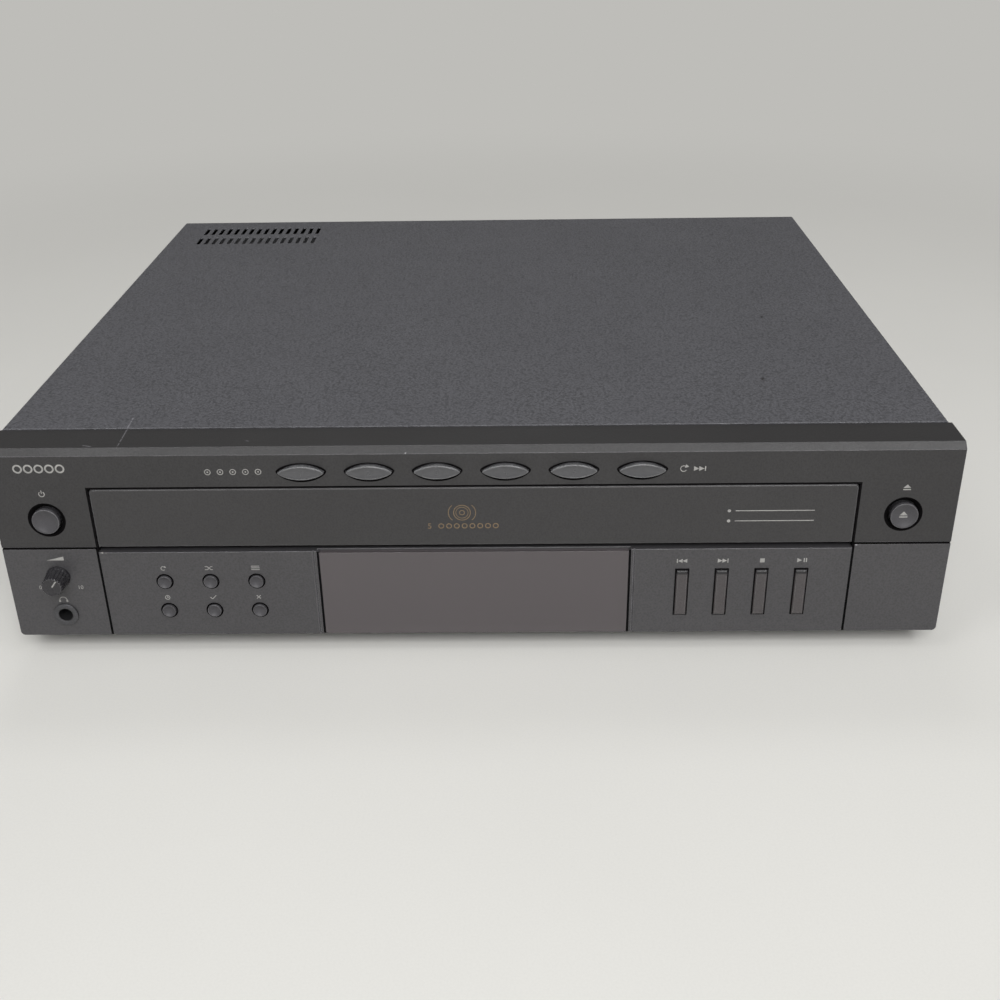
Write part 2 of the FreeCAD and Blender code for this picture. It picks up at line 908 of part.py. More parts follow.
def make_feet():
    """Four turned rubber feet, wider at the top."""
    for end in ("front", "rear"):
        for side, sign in (("left", -1), ("right", 1)):
            foot = Piece(f"foot_{end}_{side}")
            radius = S.foot_radius
            foot.spin(
                "front", "V_Axis",
                (0, 0), (radius - S.foot_taper, 0), (radius, S.foot_height - S.edge_break),
                (radius, S.foot_height), (radius / 2, S.foot_height), (radius / 2, PAN_LOW), (0, PAN_LOW),
            )
            y = FRONT + S.shelf_depth + S.foot_inset_end
            if end == "rear":
                y = FRONT + REAR_FACE - S.foot_inset_end
            foot.place(x=(HALF - S.foot_inset_side) * sign, y=y)


# ------------------------------------------------------------------ front mouldings
def make_front_frame():
    """Moulded upper bezel: an upside-down U round the drawer, with a shelf behind its bevel."""
    frame = Piece("front_frame")
    arch = polygon(
        (-HALF, SEAM + S.seam_gap), (-OPENING_HALF, SEAM + S.seam_gap), (-OPENING_HALF, OPENING_TOP),
        (OPENING_HALF, OPENING_TOP), (OPENING_HALF, SEAM + S.seam_gap), (HALF, SEAM + S.seam_gap),
        (HALF, PANEL_TOP), (-HALF, PANEL_TOP),
    )
    frame.add("front", 0, S.shelf_depth, arch)
    frame.dress("Chamfer", S.top_bevel, lambda edge: straight_edge(edge, "x", y=0, z=PANEL_TOP))
    rim = S.rim_wall
    low = SEAM + S.seam_gap + rim
    high = PANEL_TOP - WALL
    hollow = polygon(
        (-HALF + WALL, low), (-OPENING_HALF - rim, low), (-OPENING_HALF - rim, OPENING_TOP + rim),
        (OPENING_HALF + rim, OPENING_TOP + rim), (OPENING_HALF + rim, low), (HALF - WALL, low),
        (HALF - WALL, high), (-HALF + WALL, high),
    )
    frame.cut("front", FRAME_WALL, S.shelf_depth, hollow)
    z = S.foot_height + S.round_height
    hole = S.round_cap_radius + S.button_gap
    sides = [circle(END_CONTROLS * sign, z, hole) for sign in (-1, 1)]
    frame.cut("front", 0, FRAME_WALL, *sides)
    frame.dress("Chamfer", S.round_bevel, lambda edge: round_edge(edge, hole, y=0))
    first = -S.lens_pitch * (S.lens_count - 1) / 2
    outline = lens(
        first, S.foot_height + S.lens_height,
        S.lens_width / 2 + S.button_gap, S.lens_rise / 2 + S.button_gap,
    )
    slot = frame.cut("front", 0, FRAME_WALL, outline)
    frame.row([slot], "H_Axis", S.lens_pitch, S.lens_count)
    frame.place(y=FRONT)


def make_end_panel(name, sign):
    """Moulded lower end panel; the left one carries the level control and the socket."""
    panel = Piece(name)
    inner = OPENING_HALF + S.panel_gap
    low_x, high_x = sorted((inner * sign, HALF * sign), key=float)
    panel.add("front", 0, S.shelf_depth, box(low_x, high_x, S.foot_height, SEAM))
    panel.dress(
        "Fillet", S.corner_radius, lambda edge: straight_edge(edge, "y", x=HALF * sign, z=S.foot_height)
    )
    panel.cut(
        "front", WALL, S.shelf_depth,
        box(low_x + S.rim_wall, high_x - S.rim_wall, S.foot_height + S.rim_wall, SEAM - S.rim_wall),
    )
    if sign < 0:
        bush = circle(LEVEL_X, LEVEL_Z, S.shaft_radius + S.bush_wall + S.slip)
        socket = circle(LEVEL_X, PHONES_Z, S.phones_bore_radius + S.phones_sleeve_wall + S.slip)
        panel.cut("front", 0, WALL, bush, socket)
    panel.place(y=FRONT)


def make_control_fascia():
    """Moulded lower fascia with a seat for the display window and holes for ten buttons."""
    fascia = Piece("control_fascia")
    low = S.foot_height
    seat_half = S.window_width / 2 + S.window_gap
    fascia.add("front", 0, S.shelf_depth, box(-OPENING_HALF, OPENING_HALF, low, FASCIA_TOP))
    fascia.dress("Fillet", S.corner_radius, lambda edge: straight_edge(edge, "y", z=low))
    web = S.window_thickness + WALL
    rim = S.rim_wall
    middle = seat_half + S.window_rib
    for sign in (-1, 1):
        low_x, high_x = sorted((middle * sign, (OPENING_HALF - rim) * sign), key=float)
        fascia.cut("front", WALL, S.shelf_depth, box(low_x, high_x, low + rim, FASCIA_TOP - rim))
    fascia.cut("front", web, S.shelf_depth, box(-middle, middle, low + rim, FASCIA_TOP - rim))
    below = low - CUT_PAST
    above = FASCIA_TOP + CUT_PAST
    fascia.cut("front", 0, S.window_thickness, box(-seat_half, seat_half, below, above))
    for sign in (-1, 1):
        edges = (middle * sign, (middle + S.window_groove) * sign)
        low_x, high_x = sorted(edges, key=float)
        fascia.cut("front", 0, S.window_groove, box(low_x, high_x, below, above))
    centre = low + S.window_height / 2
    half_tube = S.tube_width / 2 - S.tube_lap
    half_rise = S.tube_height / 2 - S.tube_lap
    fascia.cut(
        "front", S.window_thickness, web,
        box(-half_tube, half_tube, centre - half_rise, centre + half_rise),
    )
    first = -S.small_side - S.small_pitch * (S.small_columns - 1) / 2
    rows = [circle(first, low + z, S.small_hole_radius) for z in (S.small_high, S.small_low)]
    holes = fascia.cut("front", 0, WALL, *rows)
    fascia.row([holes], "H_Axis", S.small_pitch, S.small_columns)
    half_bar = S.bar_width / 2 + S.button_gap
    bar = fascia.cut(
        "front", 0, WALL,
        box(S.bar_first - half_bar, S.bar_first + half_bar,
            low + S.bar_low - S.button_gap, low + S.bar_high + S.button_gap),
    )
    fascia.row([bar], "H_Axis", S.bar_pitch, as_size(len(BAR_BUTTONS)))
    fascia.place(y=FRONT)


def make_display():
    """Tinted window, display tube and the circuit board that carries the tube."""
    half = S.window_width / 2
    window = Piece("display_window")
    window.add("front", 0, S.window_thickness, box(-half, half, S.foot_height, S.foot_height + S.window_height))
    window.dress("Fillet", S.edge_break, lambda edge: straight_edge(edge, "y"))
    window.place(y=FRONT)
    centre = S.foot_height + S.window_height / 2
    tube = Piece("display_tube")
    start = S.window_thickness + WALL + S.slip
    tube.add(
        "front", start, start + S.tube_thickness,
        box(-S.tube_width / 2, S.tube_width / 2, centre - S.tube_height / 2, centre + S.tube_height / 2),
    )
    tube.add(
        "front", start + S.tube_stub * 2, start + S.tube_thickness - S.tube_stub,
        circle(S.tube_width / 2 + S.tube_stub, centre, S.tube_stub_radius),
    )
    tube.place(y=FRONT)
    board = Piece("front_board")
    inset = S.rim_wall + S.board_gap
    edge = OPENING_HALF - inset
    low = S.foot_height + inset
    high = FASCIA_TOP - inset
    board.add("front", BOARD_Y, BOARD_Y + S.board_thickness, box(-edge, edge, low, high))
    board.place(y=FRONT)


# --------------------------------------------------------------- sockets and level
def make_headphone_jack():
    """Socket with a round nut in front of the panel and a square body behind it."""
    jack = Piece("headphone_jack")
    bore = S.phones_bore_radius
    half = S.phones_body / 2
    end = S.phones_bore_length - S.phones_ring_stand
    jack.add("front", WALL, end + S.phones_floor, box(-half, half, -half, half))
    jack.add("front", 0, WALL, circle(0, 0, bore + S.phones_sleeve_wall))
    jack.add("front", -S.phones_ring_stand, 0, circle(0, 0, S.phones_ring_radius))
    jack.dress(
        "Chamfer", S.edge_break,
        lambda edge: round_edge(edge, S.phones_ring_radius, y=-S.phones_ring_stand),
    )
    jack.cut("front", -S.phones_ring_stand, end, circle(0, 0, bore))
    jack.place(x=LEVEL_X, y=FRONT, z=PHONES_Z)


def make_level_control():
    """Potentiometer behind the panel, and the knob with its shaft."""
    pot = Piece("volume_pot")
    fit = S.shaft_radius + S.shaft_fit
    bush = S.shaft_radius + S.bush_wall
    back = WALL + S.pot_depth
    pot.spin(
        "side", "H_Axis",
        (0, fit), (0, bush), (WALL, bush), (WALL, S.pot_radius), (back, S.pot_radius), (back, fit),
    )
    pot.place(x=LEVEL_X, y=FRONT, z=LEVEL_Z)
    knob = Piece("volume_knob")
    gap = S.slip
    broken = S.edge_break
    shaft_end = back - S.shaft_short
    knob.spin(
        "side", "H_Axis",
        (-S.knob_length, 0), (-S.knob_length, S.knob_tip_radius - broken),
        (broken - S.knob_length, S.knob_tip_radius), (-S.knob_skirt, S.knob_radius), (-gap, S.knob_radius),
        (-gap, S.shaft_radius), (shaft_end, S.shaft_radius), (shaft_end, 0),
    )
    depth = S.pointer_depth
    knob.cut(
        "front", -S.knob_length - CUT_PAST, -S.knob_length / 2,
        box(-depth / 2, depth / 2, S.knob_tip_radius - depth * 2, S.knob_radius + CUT_PAST),
    )
    knob.place(x=LEVEL_X, y=FRONT, z=LEVEL_Z)


# ------------------------------------------------------------------------- buttons
def button_stem(button, wall):
    """Plunger that reaches from a button's flange to just short of its switch."""
    end = BOARD_Y - S.button_travel - S.slip
    button.add("front", wall + S.slip + S.button_flange, end, circle(0, 0, S.stem_radius))


def make_round_button(name, x, z, cap_radius, wall, stand):
    """Round cap with a dished face, a flange behind the panel and a plunger."""
    button = Piece(name)
    back = wall + S.slip
    flange = back + S.button_flange
    outer = cap_radius + S.flange_overhang
    edge = cap_radius - S.edge_break
    shares = [step / DISH_STEPS for step in range(DISH_STEPS)]
    bowl = [(S.dish_depth * (1 - share * share) - stand, edge * share) for share in shares]
    button.spin(
        "side", "H_Axis",
        *bowl, (-stand, edge), (S.edge_break - stand, cap_radius), (back, cap_radius),
        (back, outer), (flange, outer), (flange, 0),
    )
    button_stem(button, wall)
    button.place(x=x, y=FRONT, z=z)


def make_lens_button(name, x):
    """Lens-shaped cap with a bevelled rim."""
    button = Piece(name)
    back = FRAME_WALL + S.slip
    button.add("front", -S.lens_stand, back, lens(0, 0, S.lens_width / 2, S.lens_rise / 2))
    button.dress(
        "Chamfer", S.lens_bevel,
        lambda edge: isinstance(edge.Curve, Part.Circle) and near(edge.CenterOfMass.y, -S.lens_stand),
    )
    half = S.lens_width / 2 + S.flange_overhang
    rise = S.lens_rise / 2
    button.add("front", back, back + S.button_flange, box(-half, half, -rise, rise))
    button_stem(button, FRAME_WALL)
    button.place(x=x, y=FRONT, z=S.foot_height + S.lens_height)


def make_bar_button(name, x):
    """Upright bar cap with a bevelled rim."""
    button = Piece(name)
    half = S.bar_width / 2
    rise = (S.bar_high - S.bar_low) / 2
    back = WALL + S.slip
    button.add("front", -S.bar_stand, back, box(-half, half, -rise, rise))
    button.dress("Chamfer", S.edge_break, lambda edge: near(edge.CenterOfMass.y, -S.bar_stand))
    half = half + S.flange_overhang
    rise = rise + S.flange_overhang
    button.add("front", back, back + S.button_flange, box(-half, half, -rise, rise))
    button_stem(button, WALL)
    button.place(x=x, y=FRONT, z=S.foot_height + (S.bar_high + S.bar_low) / 2)


def make_buttons():
    """All eighteen push buttons."""
    z = S.foot_height + S.round_height
    for name, sign in (("power_button", -1), ("open_close_button", 1)):
        make_round_button(name, END_CONTROLS * sign, z, S.round_cap_radius, FRAME_WALL, S.round_stand)
    lens_count = int(float(S.lens_count))
    names = [f"disc_{number}_button" for number in range(1, lens_count)] + ["disc_skip_button"]
    for index, name in enumerate(names):
        make_lens_button(name, S.lens_pitch * (index - (S.lens_count - 1) / 2))
    columns = int(float(S.small_columns))
    for row, height in enumerate((S.small_high, S.small_low)):
        for column in range(columns):
            x = S.small_pitch * (column - (S.small_columns - 1) / 2) - S.small_side
            name = f"mode_button_{row * columns + column + 1}"
            make_round_button(name, x, S.foot_height + height, S.small_cap_radius, WALL, S.small_stand)
    for index, name in enumerate(BAR_BUTTONS):
        make_bar_button(f"{name}_button", S.bar_first + S.bar_pitch * index)


# ---------------------------------------------------------------- rear and electrics
def make_line_out_jacks():
    """Pair of phono sockets whose shells stand out of the rear panel."""
    jacks = Piece("line_out_jacks")
    outer = REAR_FACE + S.line_length
    shoulder = REAR_FACE + S.line_shoulder
    half = S.line_pitch / 2
    side = half + S.line_block_wall
    jacks.add(
        "front", REAR_INNER - S.line_block_depth, REAR_INNER,
        box(-side, side, -S.line_block_half, S.line_block_half),
    )
    collars = [circle(half * sign, 0, S.line_radius + S.line_shoulder_wall) for sign in (-1, 1)]
    jacks.add("front", REAR_INNER, shoulder, *collars)
    rings = [circle(half * sign, 0, S.line_radius) for sign in (-1, 1)]
    jacks.add("front", shoulder, outer, *rings)
    holes = [circle(half * sign, 0, S.line_hole_radius) for sign in (-1, 1)]
    jacks.cut("front", outer - S.line_hole_length, outer, *holes)
    jacks.place(x=LINE_X, y=FRONT, z=S.foot_height + S.line_height)


def make_cord_gland():
    """Strain relief bush with a ribbed nose and a round way through for a cord."""
    gland = Piece("cord_gland")
    bore = S.gland_bore_radius
    neck = S.gland_radius - S.gland_groove
    barb = neck + S.gland_barb
    inside = REAR_INNER - S.seat_gap
    outside = REAR_FACE + S.seat_gap
    flange = outside + S.gland_flange
    outer = REAR_FACE + S.gland_reach
    tail = inside - S.gland_flange - S.gland_barb
    gland.spin(
        "side", "H_Axis",
        (tail, bore), (tail, neck), (inside - S.gland_barb, barb), (inside, barb), (inside, neck),
        (outside, neck), (outside, S.gland_radius), (flange, S.gland_radius),
        (flange + S.gland_barb, neck), (outer, neck - S.edge_break), (outer, bore),
    )
    gland.place(x=GLAND_X, y=FRONT, z=S.foot_height + S.gland_height)


def make_main_board():
    """Circuit board on four stand-offs with its larger components."""
    board = Piece("main_board")
    half = S.main_board_width / 2
    end = S.main_board_start + S.main_board_length
    low = PAN_TOP + S.standoff_height
    top = low + S.board_thickness
    board.add("floor", low, top, box(-half, half, S.main_board_start, end))
    inset = S.standoff_inset
    corners = [circle((half - inset) * sign, y, S.standoff_radius)
               for sign in (-1, 1) for y in (S.main_board_start + inset, end - inset)]
    board.add("floor", PAN_TOP, low, *corners)
    side = S.can_radius * 4
    cans = [circle(half - side, end - side - S.can_pitch * index, S.can_radius) for index in range(3)]
    board.add("floor", top, top + S.can_height, *cans)
    first = S.chip_pitch / 2 - half
    chip_end = end - S.can_pitch * 3
    for index in range(2):
        low_x = first + S.chip_pitch * index
        chip = box(low_x, low_x + S.chip_length, chip_end - S.chip_width, chip_end)
        board.add("floor", top, top + S.chip_height, chip)
    board.place(x=S.main_board_side, y=FRONT)


def make_transformer():
    """Laminated core with its winding, on a strap bolted to the pan."""
    coil = Piece("power_transformer")
    half = S.core_width / 2
    low = PAN_TOP
    high = low + S.core_height
    core_half = S.core_length / 2
    coil.add("floor", low, high, box(-half, half, -core_half / 2, core_half / 2))
    coil.dress("Chamfer", S.core_bevel, lambda edge: straight_edge(edge, "y"))
    wind = half - S.core_leg
    coil.add(
        "floor", low + S.winding_inset, high - S.winding_inset,
        rounded_box(-wind, wind, -core_half, core_half, S.winding_radius),
    )
    lug = half + S.lug_reach
    lug_half = core_half / 2 - S.lug_inset
    coil.add("floor", low, low + S.bridge_sheet, box(-lug, lug, -lug_half, lug_half))
    coil.place(x=S.core_inset - HALF, y=FRONT + S.core_start + core_half)


# ------------------------------------------------------------------ mechanism deck
def make_mechanism_deck():
    """Deck with the drawer's side rails, the pickup's bearings and the cam plate's slot."""
    deck = Piece("mechanism_deck")
    ledge = RAIL_INNER - S.rail_ledge
    ledge_top = TRAY_LOW - S.seat_gap
    ledge_low = ledge_top - S.deck_thickness
    hook = RAIL_INNER - S.hook_reach
    foot = RAIL_INNER - S.rail_root
    right = [
        (RAIL_OUTER, DECK_LOW), (RAIL_OUTER, RAIL_TOP), (hook, RAIL_TOP), (hook, HOOK_LOW),
        (RAIL_INNER, HOOK_LOW), (RAIL_INNER, ledge_top), (ledge, ledge_top), (ledge, ledge_low),
        (foot, ledge_low), (foot, DECK_TOP),
    ]
    left = [(-x, z) for x, z in reversed(right)]
    deck.add("front", S.deck_start, S.deck_end, polygon(*right, *left))
    deck.cut(
        "front", S.deck_start + S.hook_length, S.deck_end,
        box(-RAIL_INNER, RAIL_INNER, HOOK_LOW - S.seat_gap, RAIL_TOP + CUT_PAST),
    )
    half = S.pickup_width / 2 + S.pickup_gap
    start = S.pivot_start - S.block_half * 2
    end = S.pivot_start + S.pickup_length + S.pickup_end_gap
    deck.cut("floor", DECK_LOW, DECK_TOP, box(-half, half, start, end))
    plate = CAM_Y - S.slip
    deck.cut(
        "floor", DECK_LOW, DECK_TOP,
        box(-S.cam_travel - S.cam_way, S.cam_travel + S.cam_way,
            plate, plate + S.cam_plate + S.slip * 2),
    )
    pin_way = S.cam_pin_radius + S.cam_pin_way
    way_end = PIN_END + S.cam_pin_way
    deck.cut("floor", DECK_LOW, DECK_TOP, box(-pin_way, pin_way, end - CUT_PAST, way_end))
    bearing = half + S.rail_gap
    blocks = []
    for sign in (-1, 1):
        low_x, high_x = sorted((bearing * sign, (bearing + S.block_width) * sign), key=float)
        blocks.append(box(low_x, high_x, S.pivot_start - S.block_half, S.pivot_start + S.block_half))
    deck.add("floor", DECK_TOP, PIVOT_LEVEL + S.block_wall, *blocks)
    hole = circle(S.pivot_start, PIVOT_LEVEL, S.pivot_radius + S.running_gap)
    reach = bearing + S.block_width + CUT_PAST
    deck.cut("side", -reach, reach, hole)
    leg_side = RAIL_OUTER - S.leg_inset
    legs = [circle(leg_side * sign, y, S.leg_radius) for sign in (-1, 1) for y in (S.leg_front, S.leg_rear)]
    deck.add("floor", PAN_TOP, DECK_LOW, *legs)
    shaft = circle(LOADING_SIDE, S.loading_start, S.shaft_radius + S.running_gap)
    motor = circle(MOTOR_SIDE, S.motor_start, S.motor_shaft_radius + S.motor_boss + S.slip)
    deck.cut("floor", DECK_LOW, DECK_TOP, shaft, motor)
    deck.place(y=FRONT)


def make_clamp():
    """Bridge over the carousel with the puck that holds a raised disc on its spindle."""
    bridge = Piece("clamp_bridge")
    sheet = S.bridge_sheet
    low = BRIDGE_LOW
    outer = RAIL_OUTER - S.bridge_inset
    seat = RAIL_INNER + S.seat_gap
    right = [
        (seat, RAIL_TOP), (RAIL_OUTER, RAIL_TOP), (RAIL_OUTER, RAIL_TOP + sheet),
        (outer, RAIL_TOP + sheet), (outer, low + sheet),
    ]
    inner = [(outer - sheet, RAIL_TOP + sheet), (seat, RAIL_TOP + sheet)]
    left = [(-x, z) for x, z in reversed(right)]
    under = [(outer - sheet, low), *inner]
    over = [(-x, z) for x, z in reversed(under)]
    half = S.bridge_width / 2
    bridge.add(
        "front", SPINDLE_Y - half, SPINDLE_Y + half,
        polygon(*right, *left, *over, *under),
    )
    bridge.cut("floor", low, low + sheet, circle(0, SPINDLE_Y, S.puck_neck_radius + S.puck_gap))
    bridge.place(y=FRONT)
    puck = Piece("clamp_puck")
    top = BRIDGE_LOW + sheet + S.seat_gap - PUCK_LOW
    recess = S.cone_radius + S.puck_clearance
    neck = S.puck_neck_radius
    rim = neck + S.puck_rim
    head = top + S.puck_head
    broken = S.edge_break
    puck.spin(
        "front", "V_Axis",
        (0, S.cone_height), (recess - S.cone_slope, S.cone_height), (recess, 0), (S.puck_radius, 0),
        (S.puck_radius, S.puck_thickness), (neck, S.puck_thickness + broken),
        (neck, top), (rim, top), (rim, head - broken), (rim - broken, head), (0, head),
    )
    puck.place(y=FRONT + SPINDLE_Y, z=PUCK_LOW)


# ------------------------------------------------------------------- loading drive
def whole(number):
    """The whole number at or below a size."""
    number = as_size(number)
    return Size(math.floor(number.value), f"floor({number.formula})")


def gear_teeth(gear, pitch, module, count, low, high, play):
    """Pad one tooth on a blank and repeat it round the body's axis."""
    one = gear.add("floor", low, high, tooth_outline(pitch, module, play))
    gear.ring([one], count)


def pulley_profile(low, radius, groove):
    """Right-hand edge of a pulley with a shallow V groove, from its foot to its top."""
    high = low + S.pulley_width
    middle = (low + high) / 2
    half = S.belt_width / 2
    slope = S.edge_break
    return [
        (radius, low), (radius, middle - half - slope), (radius - groove, middle - half),
        (radius - groove, middle + half), (radius, middle + half + slope), (radius, high),
    ]


PULLEY_LOW = DECK_TOP + S.slip
PULLEY_TOP = PULLEY_LOW + S.pulley_width
GROOVE = S.belt_thickness + S.seat_gap * 2
BELT_LOW = PULLEY_LOW + S.pulley_width / 2 - S.belt_width / 2 + S.seat_gap
BELT_TOP = BELT_LOW + S.belt_width - S.seat_gap * 2


def make_loading_gear():
    """Pinion that meshes with the drawer's rack, in one piece with its belt pulley."""
    gear = Piece("loading_gear")
    low = RACK_LOW + S.seat_gap
    high = low + S.loading_gear_width
    foot = DECK_LOW - S.shaft_short
    root_radius = LOADING_PITCH - S.loading_module
    gear.spin(
        "front", "V_Axis",
        (0, foot), (S.shaft_radius, foot), (S.shaft_radius, PULLEY_LOW),
        *pulley_profile(PULLEY_LOW, S.pulley_radius, GROOVE),
        (root_radius, PULLEY_TOP), (root_radius, high), (0, high),
    )
    gear_teeth(gear, LOADING_PITCH, S.loading_module, S.loading_teeth, low, high, S.tooth_play)
    gear.place(x=LOADING_SIDE, y=FRONT + S.loading_start)


def make_loading_motor():
    """Motor under the deck and the small pulley on its shaft."""
    motor = Piece("loading_motor")
    fit = S.motor_shaft_radius + S.running_gap
    boss = S.motor_shaft_radius + S.motor_boss
    low = DECK_LOW - S.motor_length
    bore_low = DECK_LOW - S.motor_bore_depth
    radius = S.motor_radius
    motor.spin(
        "front", "V_Axis",
        (0, low), (radius - S.motor_edge, low), (radius, low + S.motor_edge), (radius, DECK_LOW),
        (boss, DECK_LOW), (boss, DECK_TOP), (fit, DECK_TOP), (fit, bore_low), (0, bore_low),
    )
    flat = radius * S.motor_flat
    side = radius + CUT_PAST
    motor.cut(
        "floor", low - CUT_PAST, DECK_LOW,
        box(-side, side, flat, side), box(-side, side, -side, -flat),
    )
    motor.place(x=MOTOR_SIDE, y=FRONT + S.motor_start)
    pulley = Piece("motor_pulley")
    shaft_low = DECK_LOW - S.motor_shaft_depth
    pulley.spin(
        "front", "V_Axis",
        (0, shaft_low), (S.motor_shaft_radius, shaft_low), (S.motor_shaft_radius, PULLEY_LOW),
        *pulley_profile(PULLEY_LOW, S.motor_pulley_radius, GROOVE), (0, PULLEY_TOP),
    )
    pulley.place(x=MOTOR_SIDE, y=FRONT + S.motor_start)


def belt_outline(extra):
    """Closed wire round both pulleys, this far outside the bottoms of their grooves."""
    big_centre = Vector(float(LOADING_SIDE), float(S.loading_start), 0)
    small_centre = Vector(float(MOTOR_SIDE), float(S.motor_start), 0)
    big = float(S.pulley_radius - GROOVE) + extra
    small = float(S.motor_pulley_radius - GROOVE) + extra
    reach = small_centre - big_centre
    heading = math.atan2(reach.y, reach.x)
    open_angle = math.acos((big - small) / reach.Length)

    def rim(centre, radius, angle):
        return centre + Vector(radius * math.cos(angle), radius * math.sin(angle), 0)

    first = heading + open_angle
    last = heading - open_angle
    big_arc = Part.Arc(
        rim(big_centre, big, first), rim(big_centre, big, heading + math.pi), rim(big_centre, big, last)
    )
    small_arc = Part.Arc(
        rim(small_centre, small, last), rim(small_centre, small, heading), rim(small_centre, small, first)
    )
    lower = Part.LineSegment(rim(big_centre, big, last), rim(small_centre, small, last))
    upper = Part.LineSegment(rim(small_centre, small, first), rim(big_centre, big, first))
    return Part.Wire([big_arc.toShape(), lower.toShape(), small_arc.toShape(), upper.toShape()])


def make_loading_belt():
    """Flat loop of rubber in the grooves of both pulleys."""
    belt = doc.addObject("Part::Feature", "loading_belt")
    belt.Label = "loading_belt"
    rise = Vector(0, 0, float(BELT_TOP - BELT_LOW))
    seat = float(S.seat_gap)
    outer = Part.Face(belt_outline(seat + float(S.belt_thickness))).extrude(rise)
    inner = Part.Face(belt_outline(seat)).extrude(rise)
    belt.Shape = outer.cut(inner)
    set_place(belt, 0, FRONT, BELT_LOW)
    NODES.append(belt)


# -------------------------------------------------------------------------- drawer
def corner_pocket(sign, reach):
    """Triangle between a front corner of the drawer and a line tangent to a circle."""
    edge = TRAY_HALF - S.tray_wall
    front = S.door_thickness + S.tray_wall
    slant = reach * math.sqrt(2)
    return polygon(
        (edge * sign, front),
        ((slant - S.carousel_centre + front) * sign, front),
        (edge * sign, S.carousel_centre - slant + edge),
    )


def rear_pocket(sign, reach):
    """Four-sided hollow between a rear corner of the drawer and a line tangent to a circle."""
    edge = TRAY_HALF - S.tray_wall
    back = S.tray_end - S.tray_wall
    slant = reach * math.sqrt(2)
    return polygon(
        (edge * sign, S.carousel_centre + slant - edge),
        (edge * sign, S.tray_end - S.tray_corner),
        ((TRAY_HALF - S.tray_corner) * sign, back),
        ((slant + S.carousel_centre - back) * sign, back),
    )


def make_tray():
    """Drawer with a round seat for the carousel, a rack underneath and a way for the pickup."""
    tray = Piece("tray")
    front = S.door_thickness
    seat = S.carousel_radius + S.carousel_gap
    centre = S.carousel_centre
    roof = TRAY_TOP - S.tray_wall
    tray.add("floor", TRAY_LOW, TRAY_TOP, box(-TRAY_HALF, TRAY_HALF, front, S.tray_end))
    tray.dress("Fillet", S.tray_corner, lambda edge: straight_edge(edge, "z", y=S.tray_end))
    tray.cut("floor", TRAY_FLOOR, TRAY_TOP, circle(0, centre, seat))
    tray.dress("Chamfer", S.tray_bevel, lambda edge: round_edge(edge, seat, z=TRAY_TOP))
    reach = seat + S.tray_wall
    chamber = PINION_PITCH + S.ring_module + S.slip * 3
    pinion_reach = RING_PITCH + PINION_PITCH + chamber + S.tray_wall
    tray.cut("floor", TRAY_LOW, roof, corner_pocket(-1, reach), corner_pocket(1, pinion_reach))
    tray.cut("floor", TRAY_LOW, roof, rear_pocket(-1, reach), rear_pocket(1, reach))
    tray.cut("floor", TRAY_FLOOR, roof, circle(PINION_OUT, centre - PINION_OUT, chamber))
    shoulder = S.spigot_radius + S.spigot_shoulder
    tray.add("floor", TRAY_FLOOR, CAROUSEL_LOW - S.slip, circle(0, centre, shoulder))
    spigot_top = CAROUSEL_TOP - S.spigot_drop
    tray.add("floor", CAROUSEL_LOW - S.slip, spigot_top, circle(0, centre, S.spigot_radius))
    start = centre + shoulder + S.tray_wall
    end = SPINDLE_Y + S.spindle_motor_radius + S.pickup_gap
    tray.cut("floor", TRAY_LOW, TRAY_FLOOR, box(-S.way_half, S.way_half, start, end))
    step = S.loading_module * math.pi
    root_line = RACK_LINE + S.loading_module
    low_y = S.loading_start - S.rack_margin
    high_y = S.loading_start + S.tray_travel + S.rack_margin
    tray.add("floor", RACK_LOW, TRAY_LOW, box(root_line, root_line + S.rack_back, low_y, high_y))
    root_half, tip_half = tooth_halves(S.loading_module, S.tooth_play)
    first = S.loading_start - step * 2.5
    tip_line = RACK_LINE - S.loading_module * S.tooth_rise
    foot_line = root_line + S.loading_module * S.tooth_root
    one = tray.add(
        "floor", RACK_LOW, TRAY_LOW,
        polygon(
            (foot_line, first - root_half), (foot_line, first + root_half),
            (tip_line, first + tip_half), (tip_line, first - tip_half),
        ),
    )
    count = whole((S.tray_travel + S.rack_margin * 2) / step)
    tray.row([one], "V_Axis", step, count)
    tray.place(y=FRONT)


def make_tray_door():
    """Drawer front with a stiffening rib along its back."""
    door = Piece("tray_door")
    door.add("front", 0, S.door_thickness, box(-DOOR_HALF, DOOR_HALF, DOOR_LOW, DOOR_TOP))
    door.dress("Fillet", S.corner_radius, lambda edge: straight_edge(edge, "y", z=DOOR_TOP))
    door.dress("Chamfer", S.edge_break, lambda edge: near(edge.CenterOfMass.y, 0))
    half = DOOR_HALF - S.door_rib_inset
    rib_low = TRAY_TOP + S.door_rib
    door.add(
        "front", S.door_thickness, S.door_thickness + S.door_rib,
        box(-half, half, rib_low, rib_low + S.door_rib_height),
    )
    door.place(y=FRONT)


